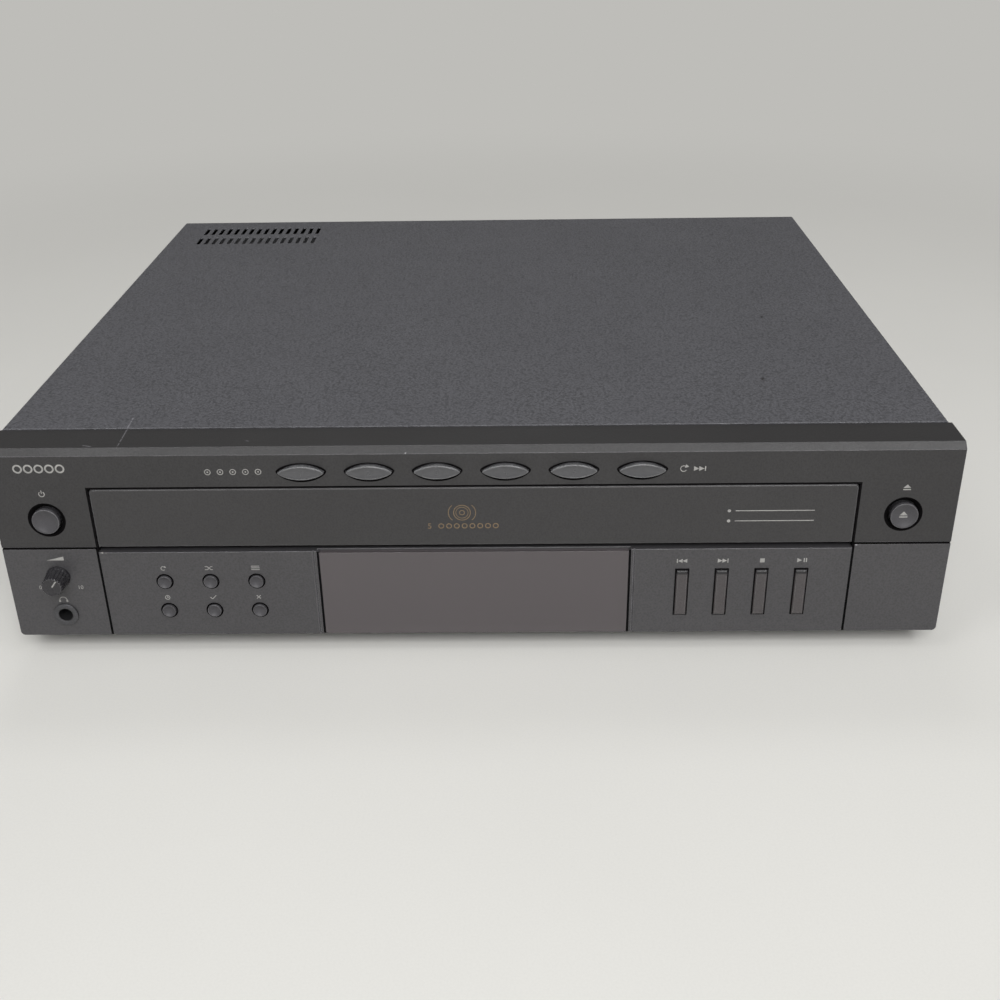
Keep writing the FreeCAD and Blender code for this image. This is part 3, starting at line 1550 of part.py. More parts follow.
def make_carousel():
    """Turntable with five stepped disc wells, keyhole ways for the pickup and a toothed ring."""
    carousel = Piece("carousel")
    carousel.add("floor", CAROUSEL_LOW, CAROUSEL_TOP, circle(0, 0, S.carousel_radius))
    carousel.dress("Chamfer", S.tray_bevel, lambda edge: round_edge(edge, S.carousel_radius, z=CAROUSEL_TOP))
    reach = S.well_circle
    half = S.key_width / 2
    well = carousel.cut("floor", WELL_FLOOR, CAROUSEL_TOP, circle(0, reach, S.well_radius))
    inner = carousel.cut(
        "floor", WELL_FLOOR - S.small_well_depth, WELL_FLOOR, circle(0, reach, S.small_well_radius)
    )
    hole = carousel.cut("floor", CAROUSEL_LOW, CAROUSEL_TOP, circle(0, reach, S.key_radius))
    slot = carousel.cut("floor", CAROUSEL_LOW, CAROUSEL_TOP, box(-half, half, KEY_REACH, reach))
    carousel.ring([well, inner, hole, slot], S.well_count)
    root_radius = RING_PITCH - S.ring_module
    carousel.add(
        "floor", RING_LOW, CAROUSEL_LOW,
        circle(0, 0, root_radius), circle(0, 0, root_radius - S.ring_wall),
    )
    gear_teeth(carousel, RING_PITCH, S.ring_module, S.ring_teeth, RING_LOW, RING_TOP, S.ring_play)
    carousel.add("floor", CAROUSEL_TOP, CAROUSEL_TOP + S.hub_rise, circle(0, 0, S.hub_radius))
    carousel.dress(
        "Chamfer", S.hub_rise / 2,
        lambda edge: round_edge(edge, S.hub_radius, z=CAROUSEL_TOP + S.hub_rise),
    )
    bore = circle(0, 0, S.spigot_radius + S.running_gap)
    carousel.cut("floor", CAROUSEL_LOW, CAROUSEL_TOP + S.hub_rise, bore)
    carousel.place(y=FRONT + S.carousel_centre)
    cap = Piece("carousel_cap")
    low = CAROUSEL_TOP + S.hub_rise
    radius = S.hub_radius - S.cap_inset
    edge = low + S.cap_rise / 3
    floor = low + S.cap_rise / 2
    cap.spin(
        "front", "V_Axis",
        (0, low), (radius, low), (radius, edge), (radius - S.cap_rise / 2, low + S.cap_rise),
        (S.cap_hollow, low + S.cap_rise), (S.cap_hollow, floor), (0, floor),
    )
    cap.place(y=FRONT + S.carousel_centre)


def make_carousel_drive():
    """Pinion in mesh with the carousel's ring and the flat motor above it."""
    pinion = Piece("carousel_pinion")
    top = TRAY_TOP - S.tray_wall
    root_radius = PINION_PITCH - S.ring_module
    shaft = S.pinion_shaft_radius
    shaft_top = top - S.tray_wall - S.shaft_short
    pinion.spin(
        "front", "V_Axis",
        (0, RING_LOW), (root_radius, RING_LOW), (root_radius, RING_TOP), (shaft, RING_TOP),
        (shaft, shaft_top), (0, shaft_top),
    )
    gear_teeth(
        pinion, PINION_PITCH, S.ring_module, S.pinion_teeth, RING_LOW, RING_TOP, S.ring_play
    )
    y = FRONT + S.carousel_centre - PINION_OUT
    pinion.place(x=PINION_OUT, y=y)
    motor = Piece("carousel_motor")
    fit = shaft + S.running_gap
    low = RING_TOP + S.slip
    radius = S.carousel_motor_radius
    motor.spin(
        "front", "V_Axis",
        (fit, low), (radius - S.motor_edge, low), (radius, low + S.motor_edge), (radius, top),
        (0, top), (0, top - S.tray_wall), (fit, top - S.tray_wall),
    )
    motor.place(x=PINION_OUT, y=y)


# -------------------------------------------------------------------------- pickup
def place_on_pickup(piece, x=0, along=0, rise=0):
    """Place a piece at a point of the pickup's own frame, which hangs tilted from its pivot."""
    tilt = S.pickup_tilt
    y = S.pivot_start + along * cosine(tilt) + rise * sine(tilt)
    z = PIVOT_LEVEL + rise * cosine(tilt) - along * sine(tilt)
    piece.place(x=x, y=FRONT + y, z=z, tilt=-tilt)


HALF_PLATE = S.pickup_thickness / 2
LENS_HOME = S.spindle_distance - S.sled_home
GEAR_ALONG = LENS_HOME - S.sled_length / 2 - S.sled_rack_lap
SLED_PITCH = S.sled_module * S.sled_gear_teeth / 2
SLED_RACK = S.sled_width / 2 + S.sled_rack_lap
SLED_RACK_LOW = HALF_PLATE + S.rail_gap
SLED_RACK_TOP = SLED_RACK_LOW + S.sled_rack_width
SLED_GEAR_X = SLED_RACK + S.sled_module + SLED_PITCH
ROD_END = S.spindle_distance - S.shaft_short


def make_pickup_chassis():
    """Hinged plate with its pivot shaft, rod posts, stiffening ribs and cam pin."""
    chassis = Piece("pickup_chassis")
    half = S.pickup_width / 2
    length = S.pickup_length
    thick = HALF_PLATE
    start = S.pickup_flange
    chassis.add("floor", -thick, thick, box(-half, half, -start, length))
    chassis.dress("Fillet", S.pickup_corner, lambda edge: straight_edge(edge, "z"))
    reach = half + S.pickup_gap + S.block_width
    chassis.add("side", -reach, reach, circle(0, 0, S.pivot_radius))
    rib = half - S.pickup_thickness
    ribs = [box(*sorted((half * sign, rib * sign), key=float), start, length - start) for sign in (-1, 1)]
    chassis.add("floor", -start, -thick, *ribs)
    opening = S.pickup_window_width / 2
    window_start = LENS_HOME - S.sled_travel - S.sled_length / 2 - S.sled_clearance
    window_end = LENS_HOME + S.sled_length / 2 + S.sled_clearance / 3
    chassis.cut("floor", -thick, thick, box(-opening, opening, window_start, window_end))
    posts = []
    for sign in (-1, 1):
        for along in (S.rod_start, ROD_END - S.post_length):
            side = S.rod_side * sign
            posts.append(box(side - S.post_half, side + S.post_half, along, along + S.post_length))
    chassis.add("floor", thick, S.rod_rise + S.rod_cover, *posts)
    rods = [circle(S.rod_side * sign, S.rod_rise, S.rod_radius) for sign in (-1, 1)]
    chassis.cut("front", S.rod_start - CUT_PAST, ROD_END + CUT_PAST, *rods)
    axle_top = SLED_RACK_TOP - S.slip
    chassis.add("floor", thick, axle_top, circle(SLED_GEAR_X, GEAR_ALONG, S.rod_radius))
    drop = S.cam_pin_drop
    half = S.cam_pin_radius * 2
    chassis.add("front", length - half * 2, length, box(-half, half, -drop - half, -thick))
    chassis.add("front", length - CUT_PAST, PIN_END - S.pivot_start, circle(0, -drop, S.cam_pin_radius))
    place_on_pickup(chassis)


def make_guide_rods():
    """Two ground steel rods that the sled slides on."""
    for name, sign in (("guide_rod_left", -1), ("guide_rod_right", 1)):
        rod = Piece(name)
        rod.add("front", S.rod_start, ROD_END, circle(0, 0, S.rod_radius))
        place_on_pickup(rod, x=S.rod_side * sign, rise=S.rod_rise)


def make_spindle():
    """Spindle motor on the pickup plate and the platter it turns."""
    motor = Piece("spindle_motor")
    low = HALF_PLATE
    top = low + S.spindle_motor_height
    fit = S.spindle_shaft_radius + S.running_gap
    radius = S.spindle_motor_radius
    boss = S.spindle_boss_radius
    boss_top = top + S.spindle_boss_rise
    bore_low = low + S.spindle_bore_floor
    motor.spin(
        "front", "V_Axis",
        (0, low), (radius, low), (radius, top - S.motor_edge), (radius - S.motor_edge, top),
        (boss, top), (boss, boss_top), (fit, boss_top), (fit, bore_low), (0, bore_low),
    )
    place_on_pickup(motor, along=S.spindle_distance)
    platter = Piece("spindle_platter")
    level = S.platter_level
    under = level - S.platter_thickness
    shaft = S.spindle_shaft_radius
    foot = bore_low + S.shaft_short
    neck_low = boss_top + S.rail_gap
    neck = boss + S.shaft_short
    edge = S.platter_radius - S.edge_break
    cone_top = level + S.cone_height
    platter.spin(
        "front", "V_Axis",
        (0, foot), (shaft, foot), (shaft, neck_low), (neck, neck_low), (neck, under), (edge, under),
        (S.platter_radius, under + S.edge_break), (S.platter_radius, level),
        (S.cone_radius, level), (S.cone_radius, level + S.cone_step),
        (S.cone_radius - S.cone_slope, cone_top), (0, cone_top),
    )
    place_on_pickup(platter, along=S.spindle_distance)


def make_sled():
    """Sled on both rods with the lens tower and a side rack, and the gear that drives it."""
    sled = Piece("pickup_sled")
    half = S.sled_width / 2
    start = LENS_HOME - S.sled_length / 2
    end = LENS_HOME + S.sled_length / 2
    low = S.rod_rise - S.rod_cover
    high = S.rod_rise + S.rod_cover + S.shaft_short
    sled.add("floor", low, high, box(-half, half, start, end))
    tower = S.tower_width / 2
    depth = S.tower_length / 2
    outline = rounded_box(-tower, tower, LENS_HOME - depth, LENS_HOME + depth, S.tower_corner)
    sled.add("floor", high, S.tower_level, outline)
    sled.add("floor", S.tower_level, S.tower_level + S.lens_rim, circle(0, LENS_HOME, S.lens_radius))
    belly = half - S.belly_inset
    depth = depth - S.lens_rim
    sled.add("floor", -S.belly_drop, low, box(-belly, belly, LENS_HOME - depth, LENS_HOME + depth))
    rods = [circle(S.rod_side * sign, S.rod_rise, S.rod_radius + S.running_gap) for sign in (-1, 1)]
    sled.cut("front", start, end, *rods)
    rack_low = SLED_RACK_LOW
    rack_top = SLED_RACK_TOP
    step = S.sled_module * math.pi
    rack_start = GEAR_ALONG - S.sled_margin
    rack_end = GEAR_ALONG + S.sled_travel + S.sled_margin
    sled.add("floor", rack_low, rack_top, box(half - CUT_PAST, SLED_RACK, rack_start, rack_end))
    root_half, tip_half = tooth_halves(S.sled_module, S.sled_play)
    first = GEAR_ALONG - step * 1.5
    tip = SLED_RACK + S.sled_module * (1 + S.tooth_rise)
    foot = SLED_RACK - S.sled_module * S.tooth_root
    one = sled.add(
        "floor", rack_low, rack_top,
        polygon(
            (foot, first - root_half), (tip, first - tip_half),
            (tip, first + tip_half), (foot, first + root_half),
        ),
    )
    sled.row([one], "V_Axis", step, whole((S.sled_travel + S.sled_margin * 1.5) / step))
    place_on_pickup(sled)
    gear = Piece("sled_gear")
    root_radius = SLED_PITCH - S.sled_module
    bore = S.rod_radius + S.running_gap
    gear_low = rack_low - S.seat_gap * 2
    gear.add("floor", gear_low, rack_top, circle(0, 0, root_radius), circle(0, 0, bore))
    gear_teeth(gear, SLED_PITCH, S.sled_module, S.sled_gear_teeth, gear_low, rack_top, S.sled_play)
    place_on_pickup(gear, x=SLED_GEAR_X, along=GEAR_ALONG)


def make_cam_slider():
    """Upright plate whose sloping slot lifts the pickup's pin as it slides to the left."""
    slider = Piece("cam_slider")
    tilt = S.pickup_tilt
    drop = S.cam_pin_drop
    middle = S.pickup_length + S.cam_gap + S.cam_plate / 2
    high_z = PIVOT_LEVEL - drop
    along = (middle + drop * sine(tilt)) / cosine(tilt)
    low_z = PIVOT_LEVEL - drop * cosine(tilt) - along * sine(tilt)
    rise = high_z - low_z
    slope = root(S.cam_travel * S.cam_travel + rise * rise)
    half = S.cam_pin_radius + S.cam_slot_play
    run_x = S.cam_travel / slope * half
    run_z = rise / slope * half
    slot = polygon(
        (-run_x - run_z, low_z - run_z + run_x), (-run_x + run_z, low_z - run_z - run_x),
        (S.cam_travel + run_x + run_z, high_z + run_z - run_x),
        (S.cam_travel + run_x - run_z, high_z + run_z + run_x),
    )
    margin = S.cam_margin
    slider.add(
        "front", CAM_Y, CAM_Y + S.cam_plate,
        box(-margin, S.cam_travel + margin, low_z - S.cam_foot, high_z + S.cam_head),
    )
    slider.cut("front", CAM_Y, CAM_Y + S.cam_plate, slot)
    slider.place(y=FRONT)


# ------------------------------------------------------------------------ assembly
def check_document():
    """Stop if any object failed to compute or any piece is empty or broken."""
    for item in doc.Objects:
        if "Invalid" in item.State or "Error" in item.State:
            raise RuntimeError(f"{item.Name} failed: {item.State}")
    for node in NODES:
        if node.Shape.isNull() or not node.Shape.isValid() or not node.Shape.Solids:
            raise RuntimeError(f"{node.Label} has no valid solid")


def write_nodes():
    """Write one STEP file for each piece."""
    os.makedirs("parts", exist_ok=True)
    for node in NODES:
        node.Shape.exportStep(f"parts/{node.Label}.step")


def main():
    """Build every piece, check the document and write it out."""
    make_base_pan()
    make_top_cover()
    make_rear_panel()
    make_feet()
    make_front_frame()
    make_end_panel("left_end_panel", -1)
    make_end_panel("right_end_panel", 1)
    make_control_fascia()
    make_display()
    make_headphone_jack()
    make_level_control()
    make_buttons()
    make_line_out_jacks()
    make_cord_gland()
    make_main_board()
    make_transformer()
    make_mechanism_deck()
    make_clamp()
    make_loading_gear()
    make_loading_motor()
    make_loading_belt()
    make_tray()
    make_tray_door()
    make_carousel()
    make_carousel_drive()
    make_pickup_chassis()
    make_guide_rods()
    make_spindle()
    make_sled()
    make_cam_slider()
    doc.recompute()
    check_document()
    write_nodes()
    for node in NODES:
        print(node.Label, round(node.Shape.Volume, 1), len(node.Shape.Solids), len(node.Shape.Faces))


main()
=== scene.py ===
"""Looks of a multi disc CD changer: its finishes, printed marks, small fittings, studio and camera."""

import json
import logging
import math
from dataclasses import dataclass, field, replace
from enum import Enum

import bmesh
import bpy
import numpy as np
from bpy.types import Material, NodeSocket, NodeTree, Object
from mathutils import Matrix, Vector

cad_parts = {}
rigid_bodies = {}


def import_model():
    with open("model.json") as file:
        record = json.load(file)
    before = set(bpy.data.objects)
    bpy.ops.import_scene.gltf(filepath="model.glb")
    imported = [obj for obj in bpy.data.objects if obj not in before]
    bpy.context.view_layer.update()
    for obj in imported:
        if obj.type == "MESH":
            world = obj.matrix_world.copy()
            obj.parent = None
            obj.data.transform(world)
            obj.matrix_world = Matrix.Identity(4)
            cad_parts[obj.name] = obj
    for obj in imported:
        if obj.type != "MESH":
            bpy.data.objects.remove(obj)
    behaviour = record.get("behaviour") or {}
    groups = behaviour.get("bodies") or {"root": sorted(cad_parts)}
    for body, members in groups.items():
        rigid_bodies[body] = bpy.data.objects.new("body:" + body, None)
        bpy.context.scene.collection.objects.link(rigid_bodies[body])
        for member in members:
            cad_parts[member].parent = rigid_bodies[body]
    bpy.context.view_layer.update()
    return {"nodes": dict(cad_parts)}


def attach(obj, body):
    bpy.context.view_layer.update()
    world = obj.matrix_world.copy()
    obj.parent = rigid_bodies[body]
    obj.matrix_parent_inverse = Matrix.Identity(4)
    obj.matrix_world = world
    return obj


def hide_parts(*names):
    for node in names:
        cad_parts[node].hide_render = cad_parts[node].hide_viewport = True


MM = 0.001
BLACK = (0.0, 0.0, 0.0, 1.0)
COAT_ROUGHNESS = 0.12
# The gloss changes in patches of this share of the mottle's size.
GLOSS_PATCH = 0.4
# The sizes, in millimetres, of the patches in which edges are lightened, as rubbed wear and as painted
# highlight, and of the breaks in a scratched line or a patch of painted light.
EDGE_WEAR_AND_HIGHLIGHT_PATCH = 9.0
SCRATCH_AND_LIGHT_BREAK = 2.2
# Degrees between two faces over which the edge between them stays sharp.
SHARP_ANGLE = 35
# The typeface's digits are this share of its size.
DIGIT_SHARE = 0.7
LOG = logging.getLogger("changer")
# A pair is a point of the drawing plane, across and up, or two limits. A place is a point in the frame.
Pair = tuple[float, float]
Place = tuple[float, float, float]

# The front's layout in millimetres: its plane, and the middles of what stands in it.
FRONT = -187.0
END_X = 191.7
LONG_X = (-75.0, -45.0, -15.0, 15.0, 45.0, 75.0)
LONG_Z = 97.0
SMALL_X = (-142.8, -121.55, -100.3)
BAR_X = (95.1, 113.15, 131.2, 149.25)


def linear(code: str) -> tuple[float, float, float, float]:
    """Turns an sRGB hex colour into linear light.

    Args:
        code: The colour as six hex digits after a hash.

    Returns:
        Red, green, blue and an alpha of 1.
    """
    srgb = np.array([int(code[at : at + 2], 16) / 255 for at in (1, 3, 5)])
    low = srgb / 12.92
    high = ((srgb + 0.055) / 1.055) ** 2.4
    return (*np.where(srgb <= 0.04045, low, high).tolist(), 1.0)


def add(
    tree: NodeTree, kind: str, inputs: dict | None = None, out: int | str = 0, **settings
) -> NodeSocket | None:
    """Adds one node with its settings and links.

    Args:
        tree: The node tree.
        kind: The node's type, without the word ShaderNode.
        inputs: For each input, the socket that feeds it or its own value.
        out: Which output is wanted.
        **settings: The node's own properties.

    Returns:
        The wanted output, or nothing for a node without outputs.
    """
    node = tree.nodes.new("ShaderNode" + kind)
    for name, value in settings.items():
        setattr(node, name, value)
    for name, value in (inputs or {}).items():
        if isinstance(value, NodeSocket):
            tree.links.new(value, node.inputs[name])
        else:
            node.inputs[name].default_value = value
    return node.outputs[out] if node.outputs else None


class Grain(Enum):
    """How a surface was made, which gives its fine relief."""

    WRINKLE = "wrinkle paint, baked to small pebbles"
    SPARK = "moulded against spark-eroded steel"
    POLISHED = "moulded against polished steel"
    ROLLED = "rolled or drawn along one axis"
    WOVEN = "pressed between woven sheets"


class Axis(Enum):
    """An axis of the part's frame."""

    X = 0
    Y = 1
    Z = 2


@dataclass(frozen=True)
class Zone:
    """A slab of a piece, between two places on one axis in millimetres, with another look."""

    axis: Axis
    low: float
    high: float
    colour: str
    roughness: float
    metallic: float = 0.0


@dataclass(frozen=True)
class ScratchOrPaintedLight:
    """A rubbed or scratched line between two points in millimetres, or a small patch of painted light."""

    start: Place
    end: Place
    width: float
    colour: str


@dataclass(frozen=True)
class Finish:
    """A surface: two tones in a soft mottle, fine relief with painted shade in its hollows, rounded edges
    lightened in patches as rubbed wear and as painted highlight, zones, scratched lines and patches of
    painted light.

    Sizes are in millimetres. The relief's spacing is the real one, or as coarse as it needs to be to show.
    """

    name: str
    colour: str
    mottle: str
    roughness: Pair
    grain: Grain
    spacing: float
    depth: float
    metallic: float = 0.0
    ior: float = 1.5
    mottle_size: float = 45.0
    # Share of painted shade mixed into the hollows of the relief.
    painted_hollow_shade: float = 0.3
    edge: float = 0.0
    # Colour of the edges, lightened as rubbed wear and as painted highlight.
    wear_and_highlight: str = ""
    coat: float = 0.0
    transmission: float = 0.0
    along: Axis = Axis.Y
    zones: tuple[Zone, ...] = ()
    scratches_and_painted_light: tuple[ScratchOrPaintedLight, ...] = ()

    def material(self) -> Material:
        """Makes the material, or finds it if it's made already.

        Returns:
            The material.
        """
        made = bpy.data.materials.get(self.name)
        if made is not None:
            return made
        made = bpy.data.materials.new(self.name)
        made.use_nodes = True
        tree = made.node_tree
        tree.nodes.clear()
        place = add(tree, "TexCoord", out="Object")
        relief = self.relief(tree, place)
        bump = {"Height": relief, "Distance": self.depth * MM, "Strength": 1.0}
        if self.edge:
            bump["Normal"] = add(tree, "Bevel", {"Radius": self.edge * MM}, samples=4)
        normal = add(tree, "Bump", bump)
        colour = self.tones(tree, place, relief)
        # Edges lightened in patches: rubbed wear and painted highlight.
        if self.wear_and_highlight:
            colour = self.rub_and_highlight(tree, place, colour, bump["Normal"])
        # Scratched lines, and small patches of painted light.
        for scratch_or_painted_light in self.scratches_and_painted_light:
            colour = self.scratch_or_painted_light(tree, place, colour, scratch_or_painted_light)
        size = GLOSS_PATCH * self.mottle_size * MM
        patch = add(tree, "TexNoise", {"Vector": place, "Scale": 1 / size, "Detail": 3.0})
        low, high = self.roughness
        span = {"Value": patch, "From Min": 0.3, "From Max": 0.7, "To Min": low, "To Max": high}
        rough = add(tree, "MapRange", span)
        values = {"Base Color": colour, "Roughness": rough, "Normal": normal, "Metallic": self.metallic}
        for zone in self.zones:
            self.enter(tree, place, values, zone)
        if not self.metallic:
            values["IOR"] = self.ior
        if self.coat:
            values |= {"Coat Weight": self.coat, "Coat Roughness": COAT_ROUGHNESS}
        if self.transmission:
            values["Transmission Weight"] = self.transmission
        add(tree, "OutputMaterial", {"Surface": add(tree, "BsdfPrincipled", values)})
        return made

    def relief(self, tree: NodeTree, place: NodeSocket) -> NodeSocket:
        """Builds the fine relief that the way of making leaves.

        Args:
            tree: The material's nodes.
            place: The point in the part's frame.

        Returns:
            The height, from 0 to 1.
        """
        base = {"Vector": place, "Scale": 1 / (self.spacing * MM)}
        if self.grain is Grain.WRINKLE:
            pebble = add(tree, "TexVoronoi", {**base, "Smoothness": 0.8}, feature="SMOOTH_F1")
            fine = add(tree, "TexNoise", {"Vector": place, "Scale": 2.5 * base["Scale"], "Detail": 2.0})
            height = add(tree, "Math", {0: fine, 1: pebble}, operation="SUBTRACT")
            return add(tree, "MapRange", {"Value": height, "From Min": -0.3, "From Max": 0.6})
        if self.grain is Grain.WOVEN:
            return add(tree, "TexChecker", base, "Fac")
        if self.grain is Grain.ROLLED:
            stretch = [1.0, 1.0, 1.0]
            stretch[self.along.value] = 0.03
            base["Vector"] = add(tree, "Mapping", {"Vector": place, "Scale": stretch})
        detail = {Grain.ROLLED: 4.0, Grain.SPARK: 3.0, Grain.POLISHED: 1.0}[self.grain]
        return add(tree, "TexNoise", {**base, "Detail": detail})

    def tones(self, tree: NodeTree, place: NodeSocket, relief: NodeSocket) -> NodeSocket:
        """Mixes the two tones in a wide soft mottle, and paints shade into the hollows of the relief,
        darkening them a little.
        """
        size = self.mottle_size * MM
        wide = add(tree, "TexNoise", {"Vector": place, "Scale": 1 / size, "Detail": 5.0, "Roughness": 0.6})
        share = add(tree, "MapRange", {"Value": wide, "From Min": 0.35, "From Max": 0.65})
        pair = {6: linear(self.colour), 7: linear(self.mottle)}
        tone = add(tree, "Mix", {"Factor": share, **pair}, 2, data_type="RGBA")
        # Painted shade: the hollows of the relief are mixed towards black.
        span = {"Value": relief, "From Min": 0.1, "From Max": 0.6, "To Min": self.painted_hollow_shade, "To Max": 0.0}
        painted_hollow_shade = add(tree, "MapRange", span)
        return add(tree, "Mix", {"Factor": painted_hollow_shade, 6: tone, 7: BLACK}, 2, data_type="RGBA")

    def rub_and_highlight(self, tree: NodeTree, place: NodeSocket, colour: NodeSocket, soft: NodeSocket) -> NodeSocket:
        """Lightens the edges in patches, where the soft, rounded normal leaves the face's own: rubbed wear,
        and a painted highlight along the edges.
        """
        face = add(tree, "NewGeometry", out="Normal")
        agree = add(tree, "VectorMath", {0: face, 1: soft}, "Value", operation="DOT_PRODUCT")
        patch = add(tree, "TexNoise", {"Vector": place, "Scale": 1 / (EDGE_WEAR_AND_HIGHLIGHT_PATCH * MM), "Detail": 3.0})
        edge = add(tree, "MapRange", {"Value": agree, "From Min": 0.995, "From Max": 0.86, "To Max": 0.8})
        share = add(tree, "Math", {0: edge, 1: patch}, operation="MULTIPLY")
        pair = {6: colour, 7: linear(self.wear_and_highlight)}
        return add(tree, "Mix", {"Factor": share, **pair}, 2, data_type="RGBA")

    @staticmethod
    def scratch_or_painted_light(tree: NodeTree, place: NodeSocket, colour: NodeSocket, scratch_or_painted_light: ScratchOrPaintedLight) -> NodeSocket:
        """Draws one line: the distance to the nearest point of the segment, under half the width.

        Args:
            tree: The material's nodes.
            place: The point in the part's frame.
            colour: The colour so far.
            scratch_or_painted_light: The line, which breaks up in a noise.

        Returns:
            The colour.
        """
        start, end = np.array(scratch_or_painted_light.start) * MM, np.array(scratch_or_painted_light.end) * MM
        line = end - start
        way = (line / (line @ line)).tolist()
        wander = add(tree, "TexNoise", {"Vector": place, "Scale": 1 / (SCRATCH_AND_LIGHT_BREAK * MM), "Detail": 2.0})
        from_start = add(tree, "VectorMath", {0: place, 1: start.tolist()}, operation="SUBTRACT")
        part = add(tree, "VectorMath", {0: from_start, 1: way}, "Value", operation="DOT_PRODUCT")
        held = add(tree, "Clamp", {"Value": part})
        nearest = add(tree, "VectorMath", {0: line.tolist(), "Scale": held}, operation="SCALE")
        away = add(tree, "VectorMath", {0: from_start, 1: nearest}, "Value", operation="DISTANCE")
        half = scratch_or_painted_light.width * MM / 2
        near = add(tree, "MapRange", {"Value": away, "From Min": half, "From Max": 0.3 * half})
        broken = add(tree, "MapRange", {"Value": wander, "From Min": 0.38, "From Max": 0.52})
        share = add(tree, "Math", {0: near, 1: broken}, operation="MULTIPLY")
        pair = {6: colour, 7: linear(scratch_or_painted_light.colour)}
        return add(tree, "Mix", {"Factor": share, **pair}, 2, data_type="RGBA")

    @staticmethod
    def enter(tree: NodeTree, place: NodeSocket, values: dict, zone: Zone) -> None:
        """Changes the shader's values for colour, roughness and metal between the zone's two places."""
        at = add(tree, "SeparateXYZ", {"Vector": place}, zone.axis.value)
        middle, half = (zone.low + zone.high) / 2 * MM, (zone.high - zone.low) / 2 * MM
        inside = add(tree, "Math", {0: at, 1: middle, 2: half}, operation="COMPARE")
        pair = {6: values["Base Color"], 7: linear(zone.colour)}
        values["Base Color"] = add(tree, "Mix", {"Factor": inside, **pair}, 2, data_type="RGBA")
        for name, value in (("Roughness", zone.roughness), ("Metallic", zone.metallic)):
            values[name] = add(tree, "Mix", {"Factor": inside, 2: values[name], 3: value})


# Semi-matt wrinkle enamel on steel: a dark grey skin of pebbles about a millimetre
# across, which breaks every highlight into a soft sparkle.
COVER_PAINT = Finish(
    "wrinkle_enamel_on_steel", "#56565b", "#59595e", (0.50, 0.54), Grain.WRINKLE, spacing=1.15, depth=0.24,
    mottle_size=60, painted_hollow_shade=0.5, edge=0.5, wear_and_highlight="#9c9c9f",
    scratches_and_painted_light=(
        ScratchOrPaintedLight((155.2, -20, 108.4), (155.2, -24, 108.4), 2.2, "#1f1d20"),
        ScratchOrPaintedLight((139.8, -111, 108.4), (139.5, -114, 108.4), 2.6, "#242225"),
        ScratchOrPaintedLight((-156.8, -153, 108.4), (-156.3, -164.3, 108.4), 0.8, "#85848a")
    )
)
# Moulded ABS with a fine spark-eroded skin: charcoal with a satin sheen, lighter in patches on its corners
# and edges, partly where the coloured skin has rubbed through and partly as painted highlight.
FRONT_ABS = Finish(
    "moulded_abs_satin_charcoal", "#2a292a", "#2e2d2e", (0.36, 0.48), Grain.SPARK, spacing=0.9, depth=0.05,
    mottle_size=70, painted_hollow_shade=0.5, edge=0.5, wear_and_highlight="#97959a",
    scratches_and_painted_light=(
        ScratchOrPaintedLight((-156.3, -165.5, 108), (-155.5, -184.5, 107.9), 0.8, "#636266"),
        ScratchOrPaintedLight((-171.1, -181.8, 108), (-167.6, -182.9, 108), 0.9, "#6a696d"),
        ScratchOrPaintedLight((-100.2, -177.9, 108), (-98.6, -178.5, 108), 0.9, "#5c5b5f"),
        ScratchOrPaintedLight((-28.6, -187, 105.6), (-26.8, -186.3, 107.0), 0.9, "#c9c8cc"),
        # The last two are pale patches at the fascia's upper corners, in the gap under the door: painted
        # light on the gap's lit inner ends.
        ScratchOrPaintedLight((-170.6, -187, 58.0), (-168.4, -187, 56.3), 2.0, "#b9b5ae"),
        ScratchOrPaintedLight((168.6, -187, 57.4), (172.6, -187, 58.0), 1.6, "#9a979b")
    )
)
# The lower panels are the same ABS, coloured a shade lighter as painted light: a lit copy for the brighter
# light they get near the floor.
PANEL_ABS_PAINTED_LIGHTER = replace(FRONT_ABS, name="moulded_abs_satin_charcoal_painted_lighter", colour="#3d3c3e", mottle="#403f41")
# The four bars are a touch browner than their panel; their bevelled tops are painted dark as shade.
BAR_ABS = replace(
    PANEL_ABS_PAINTED_LIGHTER, name="moulded_abs_brown_charcoal_painted_shade_tops", colour="#413e3f", mottle="#454142", scratches_and_painted_light=(),
    wear_and_highlight="#8c8a8b", zones=(Zone(Axis.Z, 43.7, 46, "#1d1c1e", 0.4),)
)
# The drawer's front is the same ABS from a smoother mould, a shade darker; its pale edges are a painted
# highlight, chiefly the thin lit line along its top edge.
DOOR_ABS = Finish(
    "moulded_abs_fine_charcoal", "#2d2c2d", "#302f30", (0.34, 0.42), Grain.SPARK, spacing=0.8, depth=0.04,
    mottle_size=120, painted_hollow_shade=0.45, edge=0.7, wear_and_highlight="#8a898c"
)
# Cast acrylic, smoked: a glossy brown-grey sheet that hides the dark tube behind it.
SMOKED_ACRYLIC = Finish(
    "smoked_acrylic_window", "#4a4547", "#4a4547", (0.18, 0.18), Grain.POLISHED, spacing=14, depth=0.004,
    painted_hollow_shade=0.0, ior=1.49, mottle_size=160, edge=0.3, coat=0.3, transmission=0.08
)
# Polished grey ABS caps: lighter than the panel and smooth, with a rim of light that is partly painted as a
# pale highlight on their edges.
LENS_CAP_ABS = Finish(
    "moulded_abs_polished_grey", "#464648", "#49494b", (0.22, 0.26), Grain.POLISHED, spacing=2.5, depth=0.01,
    mottle_size=18, painted_hollow_shade=0.1, edge=0.9, wear_and_highlight="#c6c6c8"
)
# Dark satin caps: their sides, which show as a black crescent in the wells.
DARK_CAP_ABS = Finish(
    "moulded_abs_satin_dark", "#2b2a2c", "#2f2e30", (0.24, 0.32), Grain.SPARK, spacing=0.5, depth=0.015,
    mottle_size=12, edge=0.35, wear_and_highlight="#807f82"
)
